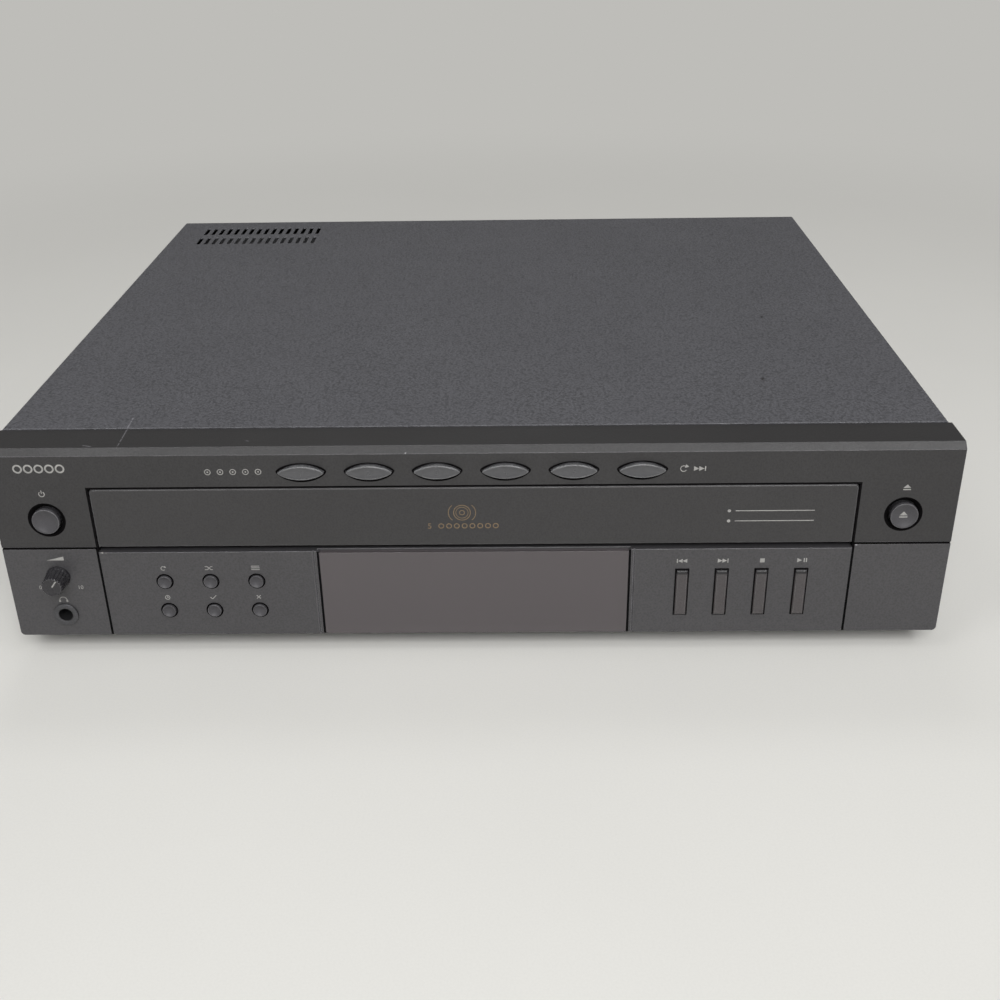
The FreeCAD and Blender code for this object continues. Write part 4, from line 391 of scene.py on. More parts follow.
# The round caps' faces are dull and greyer: their dishes shade softly from dark above to light below.
CAP_FACE_ABS = replace(
    DARK_CAP_ABS, name="moulded_abs_dull_grey", colour="#403f42", mottle="#434245", roughness=(0.44, 0.50),
    ior=1.4, wear_and_highlight="#a09fa2"
)
# The level knob is blacker than the caps, and its ribs are rubbed.
KNOB_ABS = replace(DARK_CAP_ABS, name="moulded_abs_satin_black", colour="#222124", mottle="#29282b")
# Black nylon of sockets and the cord's gland: dull, with a faint waxy gloss.
SOCKET_NYLON = Finish(
    "moulded_nylon_black", "#1a1a1b", "#202021", (0.42, 0.55), Grain.SPARK, spacing=0.5, depth=0.02,
    mottle_size=14, edge=0.3, wear_and_highlight="#4a4a4b"
)
# Nickel-plated brass shells outside the panel, black nylon inside it.
JACK_BLOCK = Finish(
    "nylon_block_with_nickel_shells", "#1b1b1c", "#202021", (0.40, 0.52), Grain.SPARK, spacing=0.5,
    depth=0.015, mottle_size=14, zones=(Zone(Axis.Y, 189.3, 200, "#c4c1ba", 0.24, 1.0),)
)
# Electro-galvanised sheet: a cool grey with a faint rolled streak.
ZINC_SHEET = Finish(
    "electro_galvanised_steel", "#a3a5a6", "#b0b2b2", (0.34, 0.50), Grain.ROLLED, spacing=0.6, depth=0.01,
    metallic=1.0, mottle_size=30, along=Axis.X, edge=0.3
)
# The back is the same sheet under a thin dark grey powder coat.
BACK_PANEL = Finish(
    "powder_coated_back_sheet", "#4c4c4e", "#505051", (0.50, 0.58), Grain.SPARK, spacing=0.9, depth=0.03,
    mottle_size=60, edge=0.3, wear_and_highlight="#6f7071"
)
# Laminated iron core between yellow tape and copper, as bands up the transformer.
TRANSFORMER = Finish(
    "laminated_core_with_taped_coil", "#6b6a68", "#77746f", (0.40, 0.55), Grain.ROLLED, spacing=0.5,
    depth=0.05, metallic=0.8, mottle_size=20, along=Axis.X, zones=(Zone(Axis.Z, 41.5, 60, "#b08a2c", 0.45),)
)
# Bright ground bar: hard clean highlights along the rod.
GROUND_BAR = Finish(
    "ground_carbon_steel", "#c6c7c8", "#d0d1d2", (0.14, 0.22), Grain.ROLLED, spacing=0.3, depth=0.003,
    metallic=1.0, mottle_size=25
)
# The headphone nut's plating has gone dull: an even satin grey, darker than new nickel.
DULL_NICKEL = Finish(
    "dulled_nickel_plate", "#646467", "#5c5c5f", (0.42, 0.52), Grain.POLISHED, spacing=0.8, depth=0.006,
    metallic=1.0, mottle_size=5, edge=0.15
)
# Painted shade: a near-black matt sheet laid in the gaps, joints, mouths and wells, standing in for the shade
# there; it gives back hardly any light and no gloss.
GAP_SHADE_BLACK = Finish(
    "black_painted_gap_shade", "#0b0a0b", "#0f0e0f", (0.80, 0.90), Grain.SPARK, spacing=0.5, depth=0.05, ior=1.12,
    mottle_size=10
)
# Black-oxide steel of the case screws: a dark metal, with bright rubbed edges on the cross.
BLACK_SCREW = Finish(
    "black_oxide_steel", "#565659", "#5f5f62", (0.30, 0.42), Grain.POLISHED, spacing=0.6, depth=0.008,
    metallic=1.0, mottle_size=5, edge=0.15, wear_and_highlight="#8c8c8e"
)
# Paper-and-resin board: tan, with dark moulded parts standing on it.
BOARD_RESIN = Finish(
    "phenolic_paper_board", "#8d6a35", "#9a7540", (0.40, 0.55), Grain.WOVEN, spacing=1.4, depth=0.01,
    mottle_size=20, zones=(Zone(Axis.Z, 16.35, 60, "#26282b", 0.38),)
)
# The display board's face carries black solder mask.
BOARD_MASK = replace(
    BOARD_RESIN, name="board_with_black_mask", colour="#1d231f", mottle="#232a25", roughness=(0.28, 0.40),
    zones=()
)
# Sealed soda-lime tube with a dark inner coat.
TUBE_GLASS = Finish(
    "fluorescent_tube_glass", "#1c2422", "#212a28", (0.05, 0.10), Grain.POLISHED, spacing=20, depth=0.01,
    mottle_size=40, coat=0.8
)
# Black polystyrene of the deck and bridge parts: plain engineering black.
DECK_STYRENE = Finish(
    "moulded_styrene_black", "#232325", "#29292b", (0.38, 0.50), Grain.SPARK, spacing=0.8, depth=0.02,
    mottle_size=40, edge=0.3, wear_and_highlight="#4d4d4f"
)
# The drawer is a matt dark grey from a textured mould.
TRAY_STYRENE = Finish(
    "moulded_styrene_dark_grey", "#2c2c2e", "#303032", (0.44, 0.48), Grain.SPARK, spacing=0.8, depth=0.03,
    mottle_size=60, edge=0.4, wear_and_highlight="#5a5a5c"
)
# The turntable is black and slightly smoother, so the wells show rings of light.
CAROUSEL_STYRENE = replace(
    TRAY_STYRENE, name="moulded_styrene_satin_black", colour="#242426", mottle="#28282a",
    roughness=(0.35, 0.38), spacing=0.7, depth=0.02, mottle_size=50, wear_and_highlight="#5e5e60"
)
# Acetal gears: milky white, waxy, with soft edges.
ACETAL = Finish(
    "moulded_acetal_natural", "#cfcbc0", "#d8d5cb", (0.34, 0.44), Grain.POLISHED, spacing=1.5, depth=0.01,
    mottle_size=12, edge=0.2
)
# Grey glass-filled resin of the sled and spindle table.
SLED_RESIN = Finish(
    "glass_filled_resin_grey", "#3f4144", "#4a4c4f", (0.36, 0.50), Grain.SPARK, spacing=0.5, depth=0.02,
    mottle_size=10, edge=0.2
)
# Square-section drive belt: dull black rubber, dusted with wear.
BELT_RUBBER = Finish(
    "neoprene_belt", "#171717", "#202020", (0.62, 0.75), Grain.SPARK, spacing=0.4, depth=0.02, mottle_size=8
)
# Feet: matt grey-black rubber, lighter on the rim where it rubs the shelf.
FOOT_RUBBER = Finish(
    "moulded_rubber_foot", "#1c1c1d", "#252526", (0.60, 0.75), Grain.SPARK, spacing=0.6, depth=0.03,
    mottle_size=12, edge=0.5, wear_and_highlight="#5a5958"
)
# Pad-printed ink, slightly uneven and matt.
GREY_INK = Finish(
    "pad_printed_grey_ink", "#979693", "#8a8987", (0.45, 0.60), Grain.POLISHED, spacing=0.5, depth=0.004,
    mottle_size=4
)
BRONZE_INK = replace(
    GREY_INK, name="pad_printed_bronze_ink", colour="#77644a", mottle="#6b5a43", roughness=(0.38, 0.50),
    mottle_size=3
)
FAINT_INK = replace(GREY_INK, name="pad_printed_dark_ink", colour="#454547", mottle="#4b4b4d", mottle_size=3)
# Unlit phosphor on the tube's anodes: a chalky grey-green.
PHOSPHOR = Finish(
    "zinc_oxide_phosphor", "#77837c", "#828e87", (0.70, 0.80), Grain.SPARK, spacing=0.4, depth=0.01,
    mottle_size=6
)
# Insulating rings of the line sockets.
WHITE_NYLON = Finish(
    "moulded_nylon_white", "#d9d6cf", "#cfccc4", (0.35, 0.45), Grain.POLISHED, spacing=0.6, depth=0.005,
    mottle_size=4
)
RED_NYLON = replace(WHITE_NYLON, name="moulded_nylon_red", colour="#9c1f1c", mottle="#8a1b19")
# The objective lens: a clear aspheric bead with a violet bloom.
LENS_GLASS = Finish(
    "coated_lens_glass", "#3a3558", "#453f66", (0.03, 0.06), Grain.POLISHED, spacing=4, depth=0.002,
    mottle_size=4, coat=1.0
)
# Studio paper: a plain pale sheet with hardly any tooth.
STUDIO_PAPER = Finish(
    "pale_studio_paper", "#d8d7d3", "#d6d5d1", (0.75, 0.85), Grain.SPARK, spacing=1.0, depth=0.002,
    mottle_size=300, painted_hollow_shade=0.04
)

CAD_FINISHES = {
    "cover_paint": COVER_PAINT, "bezel_plastic": FRONT_ABS, "door_plastic": DOOR_ABS,
    "window_plastic": SMOKED_ACRYLIC, "button_plastic": LENS_CAP_ABS, "dark_button_plastic": DARK_CAP_ABS,
    "socket_plastic": SOCKET_NYLON, "zinc_steel": ZINC_SHEET, "ground_steel": GROUND_BAR,
    "board": BOARD_RESIN, "tube_glass": TUBE_GLASS, "deck_plastic": DECK_STYRENE,
    "tray_plastic": TRAY_STYRENE, "carousel_plastic": CAROUSEL_STYRENE, "gear_plastic": ACETAL,
    "sled_plastic": SLED_RESIN, "belt_rubber": BELT_RUBBER, "foot_rubber": FOOT_RUBBER
}
NODE_FINISHES = {
    "control_fascia": PANEL_ABS_PAINTED_LIGHTER, "left_end_panel": PANEL_ABS_PAINTED_LIGHTER, "right_end_panel": PANEL_ABS_PAINTED_LIGHTER,
    "skip_back_button": BAR_ABS, "skip_forward_button": BAR_ABS, "stop_button": BAR_ABS,
    "play_pause_button": BAR_ABS, "volume_knob": KNOB_ABS, "rear_panel": BACK_PANEL,
    "line_out_jacks": JACK_BLOCK, "power_transformer": TRANSFORMER, "front_board": BOARD_MASK
}


class Facing(Enum):
    """Which way a fitting's own up points: columns are its across, its along and its up."""

    FRONT = ((1, 0, 0), (0, 0, -1), (0, 1, 0))
    BACK = ((-1, 0, 0), (0, 0, 1), (0, 1, 0))
    LEFT = ((0, 0, -1), (-1, 0, 0), (0, 1, 0))
    RIGHT = ((0, 0, 1), (1, 0, 0), (0, 1, 0))
    TOP = ((1, 0, 0), (0, 1, 0), (0, 0, 1))


@dataclass
class Shape:
    """A closed surface: points (n, 3) in millimetres, and each face's corners."""

    points: np.ndarray
    faces: list

    def placed(self, facing: Facing, at: Place) -> "Shape":
        """Turns the shape to face one way, then moves it.

        Args:
            facing: Which way its own up points.
            at: Where its own origin goes, in millimetres.

        Returns:
            The moved shape.
        """
        return Shape(self.points @ np.array(facing.value, float).T + np.array(at, float), self.faces)


def joined(shapes: list[Shape]) -> Shape:
    """Puts shapes into one: the points in a row, each shape's corners counted on from the last.

    Args:
        shapes: The shapes.

    Returns:
        One shape of several shells.
    """
    counts = np.cumsum([0] + [len(shape.points) for shape in shapes])
    pairs = [(face, first) for shape, first in zip(shapes, counts) for face in shape.faces]
    faces = [(np.array(face) + first).tolist() for face, first in pairs]
    return Shape(np.concatenate([shape.points for shape in shapes]), faces)


def quads(rows: int, columns: int, loop_rows: bool, loop_columns: bool) -> list:
    """Numbers the four corners of each cell of a grid of points, row after row.

    Args:
        rows: Points along the first parameter.
        columns: Points along the second.
        loop_rows: Whether the last row joins the first.
        loop_columns: Whether the last column joins the first.

    Returns:
        A list of corners, four a cell.
    """
    down = np.arange(rows if loop_rows else rows - 1)[:, None, None] + [0, 1, 1, 0]
    over = np.arange(columns if loop_columns else columns - 1)[:, None] + [0, 0, 1, 1]
    return (down % rows * columns + over % columns).reshape(-1, 4).tolist()


def lifted(flat: np.ndarray, height: float) -> np.ndarray:
    """Gives points (n, 2) of the drawing plane one height."""
    return np.insert(flat, 2, height, axis=1)


def swept(outline: np.ndarray, rows: list[Pair], closed: bool = False) -> Shape:
    """Lays an outline in rows, each the outline times the row's scale at the row's height.

    With a circle of radius 1 this turns a profile of (radius, height) pairs about the shape's own up.

    Args:
        outline: The outline (n, 2), about its own middle.
        rows: Pairs of (scale, height), heights in millimetres.
        closed: Whether the last row joins the first, as in a hoop. If not, both have a scale of 0.

    Returns:
        The shape.
    """
    pairs = np.array(rows, float)
    points = [lifted(outline * scale, height) for scale, height in pairs]
    return Shape(np.concatenate(points), quads(len(pairs), len(outline), closed, True))


def stroke(points: np.ndarray, width: float, closed: bool, rise: float) -> Shape:
    """Carries a flat rectangle along a line in the drawing plane, mitred at its corners.

    Each point moves out to both sides by half the width along the sum of the two
    neighbouring normals over one plus their product.

    Args:
        points: The line's points (n, 2) in millimetres.
        width: The line's width.
        closed: Whether the end joins the start.
        rise: How far it stands off the plane, and how far it reaches under it.

    Returns:
        The shape.
    """
    line = np.asarray(points, float)
    before, after = np.roll(line, 1, 0), np.roll(line, -1, 0)
    if not closed:
        before[0], after[-1] = 2 * line[0] - line[1], 2 * line[-1] - line[-2]
    into, out = line - before, after - line
    into /= np.linalg.norm(into, axis=1, keepdims=True)
    out /= np.linalg.norm(out, axis=1, keepdims=True)
    first = np.stack([-into[:, 1], into[:, 0]], -1)
    second = np.stack([-out[:, 1], out[:, 0]], -1)
    mitre = (first + second) / (1 + (first * second).sum(1, keepdims=True))
    left, right = line + mitre * width / 2, line - mitre * width / 2
    corners = [lifted(left, -rise), lifted(left, rise), lifted(right, rise), lifted(right, -rise)]
    faces = quads(len(line), 4, closed, True)
    if not closed:
        last = 4 * (len(line) - 1)
        faces += [[0, 1, 2, 3], [last + 3, last + 2, last + 1, last]]
    return Shape(np.stack(corners, 1).reshape(-1, 3), faces)


def plate(outline: np.ndarray, rise: float) -> Shape:
    """Makes a flat plate from an outline in the drawing plane.

    Args:
        outline: The corners (n, 2) in millimetres, in order.
        rise: How far it stands off the plane, and how far it reaches under it.

    Returns:
        The shape.
    """
    at = np.arange(len(outline))
    sides = [[a, d, c, b] for a, b, c, d in quads(2, len(at), False, True)]
    points = np.concatenate([lifted(outline, -rise), lifted(outline, rise)])
    return Shape(points, [at[::-1].tolist(), (at + len(at)).tolist(), *sides])


def arc(radius: float, start: float = 0, end: float = 360, steps: int = 32) -> np.ndarray:
    """Gives points of a circle or an arc about the origin: radius times cosine and sine.

    Args:
        radius: Its radius.
        start: The first angle in degrees.
        end: The last angle. A whole turn leaves its last point out.
        steps: How many points.

    Returns:
        The points (steps, 2).
    """
    angle = np.radians(np.linspace(start, end, steps, endpoint=end - start < 360))
    return radius * np.stack([np.cos(angle), np.sin(angle)], -1)


def leaf(half_width: float, rise: float, drop: float, full: float, steps: int = 72) -> np.ndarray:
    """Gives points of a long leaf: across by a cosine, up by a blend of a sine and its square.

    The square alone gives two arcs that meet in sharp tips, and the sine alone an ellipse.

    Args:
        half_width: Half its width in millimetres.
        rise: Its height above the middle.
        drop: Its depth below the middle.
        full: The sine's share, from 0 for sharp tips to 1 for an ellipse.
        steps: How many points.

    Returns:
        The points (steps, 2).
    """
    angle = np.linspace(0, 2 * np.pi, steps, endpoint=False)
    sine = np.sin(angle)
    up = full * sine + (1 - full) * sine * np.abs(sine)
    return np.stack([half_width * np.cos(angle), np.where(sine > 0, rise, drop) * up], -1)


def figure(text: str, height: float, centre: Pair, rise: float) -> Shape:
    """Draws a plain number in Blender's own typeface, as a thin plate.

    Args:
        text: The number.
        height: The height of its digits in millimetres.
        centre: Where its middle goes in the drawing plane.
        rise: How far it stands off the plane, and how far it reaches under it.

    Returns:
        The shape.
    """
    curve = bpy.data.curves.new("number", "FONT")
    curve.body, curve.align_x, curve.align_y = text, "CENTER", "CENTER"
    curve.size, curve.resolution_u = height / DIGIT_SHARE, 4
    curve.extrude = rise
    holder = bpy.data.objects.new("number", curve)
    mesh = bpy.data.meshes.new_from_object(holder)
    points = np.array([vertex.co for vertex in mesh.vertices], float)
    faces = [list(polygon.vertices) for polygon in mesh.polygons]
    for item, data in ((holder, bpy.data.objects), (curve, bpy.data.curves), (mesh, bpy.data.meshes)):
        data.remove(item)
    flat = points[:, :2]
    points[:, :2] = flat - (flat.min(0) + flat.max(0)) / 2 + np.array(centre)
    return Shape(points, faces)


def fit_piece(name: str, shape: Shape, finish: Finish, body: str = "chassis") -> Object:
    """Makes a mesh object of a shape: merges doubles, turns faces outwards, smooths and dresses it.

    Args:
        name: The piece's name.
        shape: Its surface in the part's frame, in millimetres.
        finish: Its finish.
        body: The body that it rides on.

    Returns:
        The object.
    """
    mesh = bpy.data.meshes.new(name)
    mesh.from_pydata((shape.points * MM).tolist(), [], shape.faces)
    work = bmesh.new()
    work.from_mesh(mesh)
    bmesh.ops.remove_doubles(work, verts=work.verts, dist=1e-7)
    bmesh.ops.recalc_face_normals(work, faces=work.faces)
    work.to_mesh(mesh)
    work.free()
    mesh.shade_smooth()
    mesh.set_sharp_from_angle(angle=math.radians(SHARP_ANGLE))
    mesh.materials.append(finish.material())
    piece = bpy.data.objects.new(name, mesh)
    bpy.context.scene.collection.objects.link(piece)
    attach(piece, body)
    LOG.info("%s: %d faces, %s, rides on %s", name, len(mesh.polygons), finish.name, body)
    return piece


@dataclass
class Print:
    """Marks printed on one face. They are drawn in its plane in millimetres, across and up from a place."""

    name: str
    face: float
    ink: Finish
    slot: str
    body: str = "chassis"
    rise: float = 0.03
    facing: Facing = Facing.FRONT
    at: Pair = (0.0, 0.0)
    shapes: list[Shape] = field(default_factory=list)

    def line(self, *points: Pair, width: float, closed: bool = False) -> None:
        """Draws a line through the points, open or closed."""
        self.shapes.append(stroke(np.array(points) + self.at, width, closed, self.rise))

    def ring(self, radius: float, width: float) -> None:
        """Draws a ring whose middle line has the radius."""
        self.line(*arc(radius), width=width, closed=True)

    def bow(self, radius: float, start: float, end: float, width: float) -> None:
        """Draws an open arc between two angles."""
        self.line(*arc(radius, start, end, 20), width=width)

    def solid(self, *points: Pair) -> None:
        """Fills the outline through the points."""
        self.shapes.append(plate(np.array(points) + self.at, self.rise))

    def dot(self, radius: float) -> None:
        """Fills a small circle."""
        self.solid(*arc(radius, steps=20))

    def number(self, text: str, height: float) -> None:
        """Prints a plain number."""
        self.shapes.append(figure(text, height, self.at, self.rise))

    def play(self, size: float, across: float = 0.0, sign: int = 1) -> None:
        """Fills a triangle that points along, or against, the reading direction."""
        half = size / 2
        foot, tip = across - sign * half, across + sign * half
        self.solid((foot, -half), (tip, 0), (foot, half))

    def build(self) -> None:
        """Makes one piece of all the marks."""
        shape = joined(self.shapes).placed(self.facing, (0, self.face, 0))
        fit_piece(self.name, shape, self.ink, self.body)


@dataclass
class FrontMarks:
    """The signs printed on the frame and the lower panels. Heights are above the floor."""

    badge: Pair = (-190.8, 99.2)
    round_label: float = 86.7
    small_labels: Pair = (48.0, 32.35)
    bar_label: float = 50.25

    def build(self) -> None:
        """Draws each group of marks and makes its piece."""
        groups = {
            "frame_marks": self.frame_marks, "level_marks": self.level_marks, "mode_marks": self.small_marks,
            "transport_marks": self.transport_marks
        }
        for name, draw in groups.items():
            marks = Print(name, FRONT, GREY_INK, "bezel_plastic")
            draw(marks)
            marks.build()

    def frame_marks(self, marks: Print) -> None:
        """Draws a row of rings as a plain badge, the power and eject signs and the row's end signs."""
        x, z = self.badge
        for step in range(5):
            marks.at = (x + 4.7 * (step - 2), z)
            marks.ring(1.75, 0.75)
        marks.at = (-END_X, self.round_label)
        marks.bow(1.25, 125, 415, 0.36)
        marks.line((0, 0.2), (0, 1.9), width=0.36)
        marks.at = (END_X, self.round_label)
        marks.solid((-1.7, 0), (1.7, 0), (0, 1.7))
        marks.line((-1.7, -0.8), (1.7, -0.8), width=0.5)
        for step in range(5):
            marks.at = (-116.3 + 5.6 * step, LONG_Z)
            marks.ring(1.25, 0.34)
            marks.dot(0.38)
        marks.at = (93.0, LONG_Z)
        marks.bow(1.35, 60, 330, 0.34)
        marks.solid((0.5, 0.4), (2.3, 0.9), (1.0, 2.1))
        marks.play(2.3, 5.6)
        marks.play(2.3, 7.9)
        marks.line((9.5, -1.15), (9.5, 1.15), width=0.5)

    def level_marks(self, marks: Print) -> None:
        """Draws the level knob's end marks and wedge, and a pair of earphones over the socket."""
        marks.solid((-195.7, 52.6), (-187.7, 52.6), (-187.7, 54.6))
        for text, x in (("0", -201.2), ("10", -182.3)):
            marks.at = (x, 38.2)
            marks.number(text, 1.9)
        marks.at = (-END_X, 31.2)
        marks.bow(1.7, 0, 180, 0.36)
        for x in (-1.7, 1.7):
            marks.line((x, 0.15), (x, -1.0), width=0.8)

    def small_marks(self, marks: Print) -> None:
        """Draws a plain sign over each of the six small buttons."""
        high, low = self.small_labels
        left, middle, right = SMALL_X
        marks.at = (left, high)
        marks.bow(0.95, 40, 320, 0.32)
        marks.solid((0.3, 0.35), (1.5, 0.35), (0.9, 1.35))
        marks.at = (middle, high)
        for up in (0.8, -0.8):
            marks.line((-2, -up), (-0.8, -up), (0.8, up), (1.6, up), width=0.32)
        marks.at = (right, high)
        for up in (-0.9, 0, 0.9):
            marks.line((-1.9, up), (1.9, up), width=0.34)
        marks.at = (left, low)
        marks.ring(1.05, 0.32)
        marks.line((0, 0.75), (0, 0), (0.55, 0), width=0.28)
        marks.at = (middle, low)
        marks.line((-1.3, 0), (-0.3, -0.9), (1.5, 1.0), width=0.36)
        marks.at = (right, low)
        for up in (0.9, -0.9):
            marks.line((-0.9, -up), (0.9, up), width=0.36)

    def transport_marks(self, marks: Print) -> None:
        """Draws skip back, skip forward, stop and play with pause over the four bars."""
        back, forward, stop, play = ((x, self.bar_label) for x in BAR_X)
        for at, sign in ((back, -1), (forward, 1)):
            marks.at = at
            for across in (-1.1, 1.0):
                marks.play(2.1, across, sign)
            marks.line((sign * 2.45, -1.05), (sign * 2.45, 1.05), width=0.45)
        marks.at = stop
        marks.solid((-1.05, -1.05), (1.05, -1.05), (1.05, 1.05), (-1.05, 1.05))
        marks.at = play
        marks.play(2.1, -1.2)
        for x in (0.9, 1.9):
            marks.line((x, -1.05), (x, 1.05), width=0.5)


@dataclass
class LongCaps:
    """The six long caps: a polished dished face on each, plain numbers on five and black bands of painted
    shade about all.

    A face is half this wide and high and so full, and its middle, rim and back stand this far off the panel.
    """

    half: Pair = (10.15, 3.35)
    full: float = 0.5
    middle: float = 1.86
    rim: float = 2.3
    under: float = 1.15
    gap: float = 0.35
    # How far the black band reaches below each cap: painted shadow cast by the cap.
    drop: float = 1.9

    def build(self) -> None:
        """Makes each face, each number and the black bands of painted shade."""
        names = [*(f"disc_{count}" for count in range(1, 6)), "disc_skip"]
        for name, x in zip(names, LONG_X):
            self.face(name, x)
        for name, x in zip(names[:5], LONG_X):
            mark = Print(
                f"{name}_number", FRONT - self.middle, FAINT_INK, "button_plastic", f"{name}_button", 0.06
            )
            mark.at = (x, LONG_Z - 0.2)
            mark.number(name[-1], 2.4)
            mark.build()
        self.paint_shade_bands()

    def face(self, name: str, x: float) -> None:
        """Lays a face on one cap: its height rises to the rim with the fourth power of the scale."""
        wide, high = self.half
        share = np.linspace(0, 1, 9)
        dish = np.stack([0.86 * share, self.middle + (self.rim - self.middle) * share**4], -1)
        edge = [(0.93, self.rim), (0.98, self.rim - 0.16), (1.0, self.rim - 0.42)]
        rows = [*dish, *edge, (1.0, self.under), (0.0, self.under)]
        cap = swept(leaf(wide, high, high, self.full), rows).placed(Facing.FRONT, (x, FRONT, LONG_Z))
        fit_piece(f"{name}_face", cap, LENS_CAP_ABS, f"{name}_button")

    def paint_shade_bands(self) -> None:
        """Paints shade in black about each cap: a band that is narrow above the cap and wide below it, where
        it stands for the cap's cast shadow.
        """
        wide, high = self.half
        inner = leaf(wide + self.gap, high + self.gap, high + self.gap, 0.0)
        outer = leaf(wide + 3 * self.gap, high + 2 * self.gap, high + self.drop, 0.6)
        rows = [lifted(inner, -0.05), lifted(outer, -0.05), lifted(outer, 0.05), lifted(inner, 0.05)]
        one = Shape(np.concatenate(rows), quads(len(rows), len(inner), True, True))
        shapes = [one.placed(Facing.FRONT, (x, FRONT, LONG_Z)) for x in LONG_X]
        fit_piece("disc_button_slots", joined(shapes), GAP_SHADE_BLACK)


@dataclass
class RoundCaps:
    """The round caps' dished faces, and the eject sign on one of the two large ones."""

    large: tuple[Pair, ...] = ((-END_X, 73.6), (END_X, 73.6))
    small: tuple[Pair, ...] = tuple((x, z) for z in (41.0, 25.4) for x in SMALL_X)
    sign_face: float = -187.45

    def build(self) -> None:
        """Makes the sign and a face for each cap."""
        body = "open_close_button"
        mark = Print(
            "eject_sign", self.sign_face, GREY_INK, "dark_button_plastic", body, 0.2, at=self.large[1]
        )
        mark.solid((-1.8, -0.3), (1.8, -0.3), (0, 1.6))
        mark.line((-1.8, -1.1), (1.8, -1.1), width=0.6)
        mark.build()
        for name, place in zip(("power_button", body), self.large):
            self.face(name, place, radius=6.15, middle=0.36, rim=1.95)
        for count, place in enumerate(self.small, 1):
            self.face(f"mode_button_{count}", place, radius=3.15, middle=0.0, rim=1.1)

    def face(self, name: str, place: Pair, radius: float, middle: float, rim: float) -> None:
        """Lays a dished face on one cap: its height rises to the rim with the square of the scale.

        Args:
            name: The button's node.
            place: Its middle, across and up.
            radius: The face's radius.
            middle: How far the middle stands off the panel.
            rim: How far the rim does.
        """
        share = np.linspace(0, 1, 12)
        dish = np.stack([0.93 * share, middle + (rim - middle) * share**2], -1)
        rows = [*dish, (0.97, rim + 0.02), (1.0, rim - 0.15), (1.0, middle - 0.1), (0.0, middle - 0.25)]
        cap = swept(arc(radius, steps=56), rows).placed(Facing.FRONT, (place[0], FRONT, place[1]))
        fit_piece(f"{name}_face", cap, CAP_FACE_ABS, name)


@dataclass
class Knob:
    """The level knob's fluted shell, which stands for the plain node, and the pale pointer in its face.

    A row of the shell is a radius, a height off the panel and the flutes' share.
    """

    place: Pair = (-END_X, 44.0)
    face: float = -196.8
    reach: Pair = (0.3, 3.9)
    heading: float = 37.0
    flutes: int = 20
    depth: float = 0.45
    rows: tuple[Place, ...] = (
        (0.0, 9.7, 0.0), (2.6, 9.72, 0.0), (3.9, 9.85, 0.0), (4.35, 10.0, 0.2), (4.75, 9.7, 0.9),
        (5.0, 5.0, 1.0), (5.2, 1.9, 0.8), (5.45, 1.3, 0.0), (5.5, 1.1, 0.0), (5.5, 0.1, 0.0),
        (3.0, 0.1, 0.0), (3.0, -10.5, 0.0), (0.0, -10.5, 0.0)
    )

    def build(self) -> None:
        """Turns the shell and lays the pointer, from near the face's middle to its rim.

        The radius of a row loses half the flutes' depth, times their share, times one plus
        the cosine of their count times the angle.
        """
        steps = 12 * self.flutes
        angle = np.linspace(0, 2 * np.pi, steps, endpoint=False)
        radius, height, share = np.array(self.rows).T[:, :, None]
        radius = radius - share * self.depth / 2 * (1 + np.cos(self.flutes * angle))
        points = np.stack([radius * np.cos(angle), radius * np.sin(angle), height + 0 * radius], -1)
        shell = Shape(points.reshape(-1, 3), quads(len(radius), steps, False, True))
        x, z = self.place
        shell = shell.placed(Facing.FRONT, (x, FRONT, z))
        slot = "dark_button_plastic"
        piece = fit_piece("level_knob_shell", shell, KNOB_ABS, "volume_knob")
        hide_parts("volume_knob")
        heading = math.radians(self.heading)
        way = (math.sin(heading), math.cos(heading))
        mark = Print("knob_pointer", self.face, GREY_INK, slot, "volume_knob", 0.12, at=self.place)
        mark.line(*np.outer(self.reach, way), width=0.6)
        mark.build()


@dataclass
class ShadeHoops:
    """Black hoops of painted shade in the holes of the round caps, for the dark grooves about them: flat ones
    about the small, flared wells about the large.
    """

    throat: float = 6.41
    flare: float = 1.89
    ring: Pair = (3.28, 4.0)

    def build(self) -> None:
        """Makes both kinds from their sections, pairs of a radius and a height off the panel."""
        inner, outer = self.ring
        section = [(inner, -0.3), (outer, -0.3), (outer, 0.12), (outer - 0.2, 0.25), (inner + 0.15, 0.25)]
        self.line_holes("mode_button_rings", [*section, (inner, 0.1)], 40, RoundCaps.small)
        throat, mouth = self.throat, self.throat + self.flare
        section = [
            (throat, -self.flare), (mouth, 0.0), (mouth + 0.2, 0.0), (mouth + 0.2, 0.06), (mouth, 0.1)
        ]
        self.line_holes("round_button_shade_wells", [*section, (throat, 0.16 - self.flare)], 64, RoundCaps.large)

    def line_holes(self, name: str, section: list[Pair], steps: int, places: tuple[Pair, ...]) -> None:
        """Sets a black hoop of one section, as painted shade, into the face about each of several caps."""
        one = swept(arc(1.0, steps=steps), section, True)
        shapes = [one.placed(Facing.FRONT, (x, FRONT, z)) for x, z in places]
        fit_piece(name, joined(shapes), GAP_SHADE_BLACK)


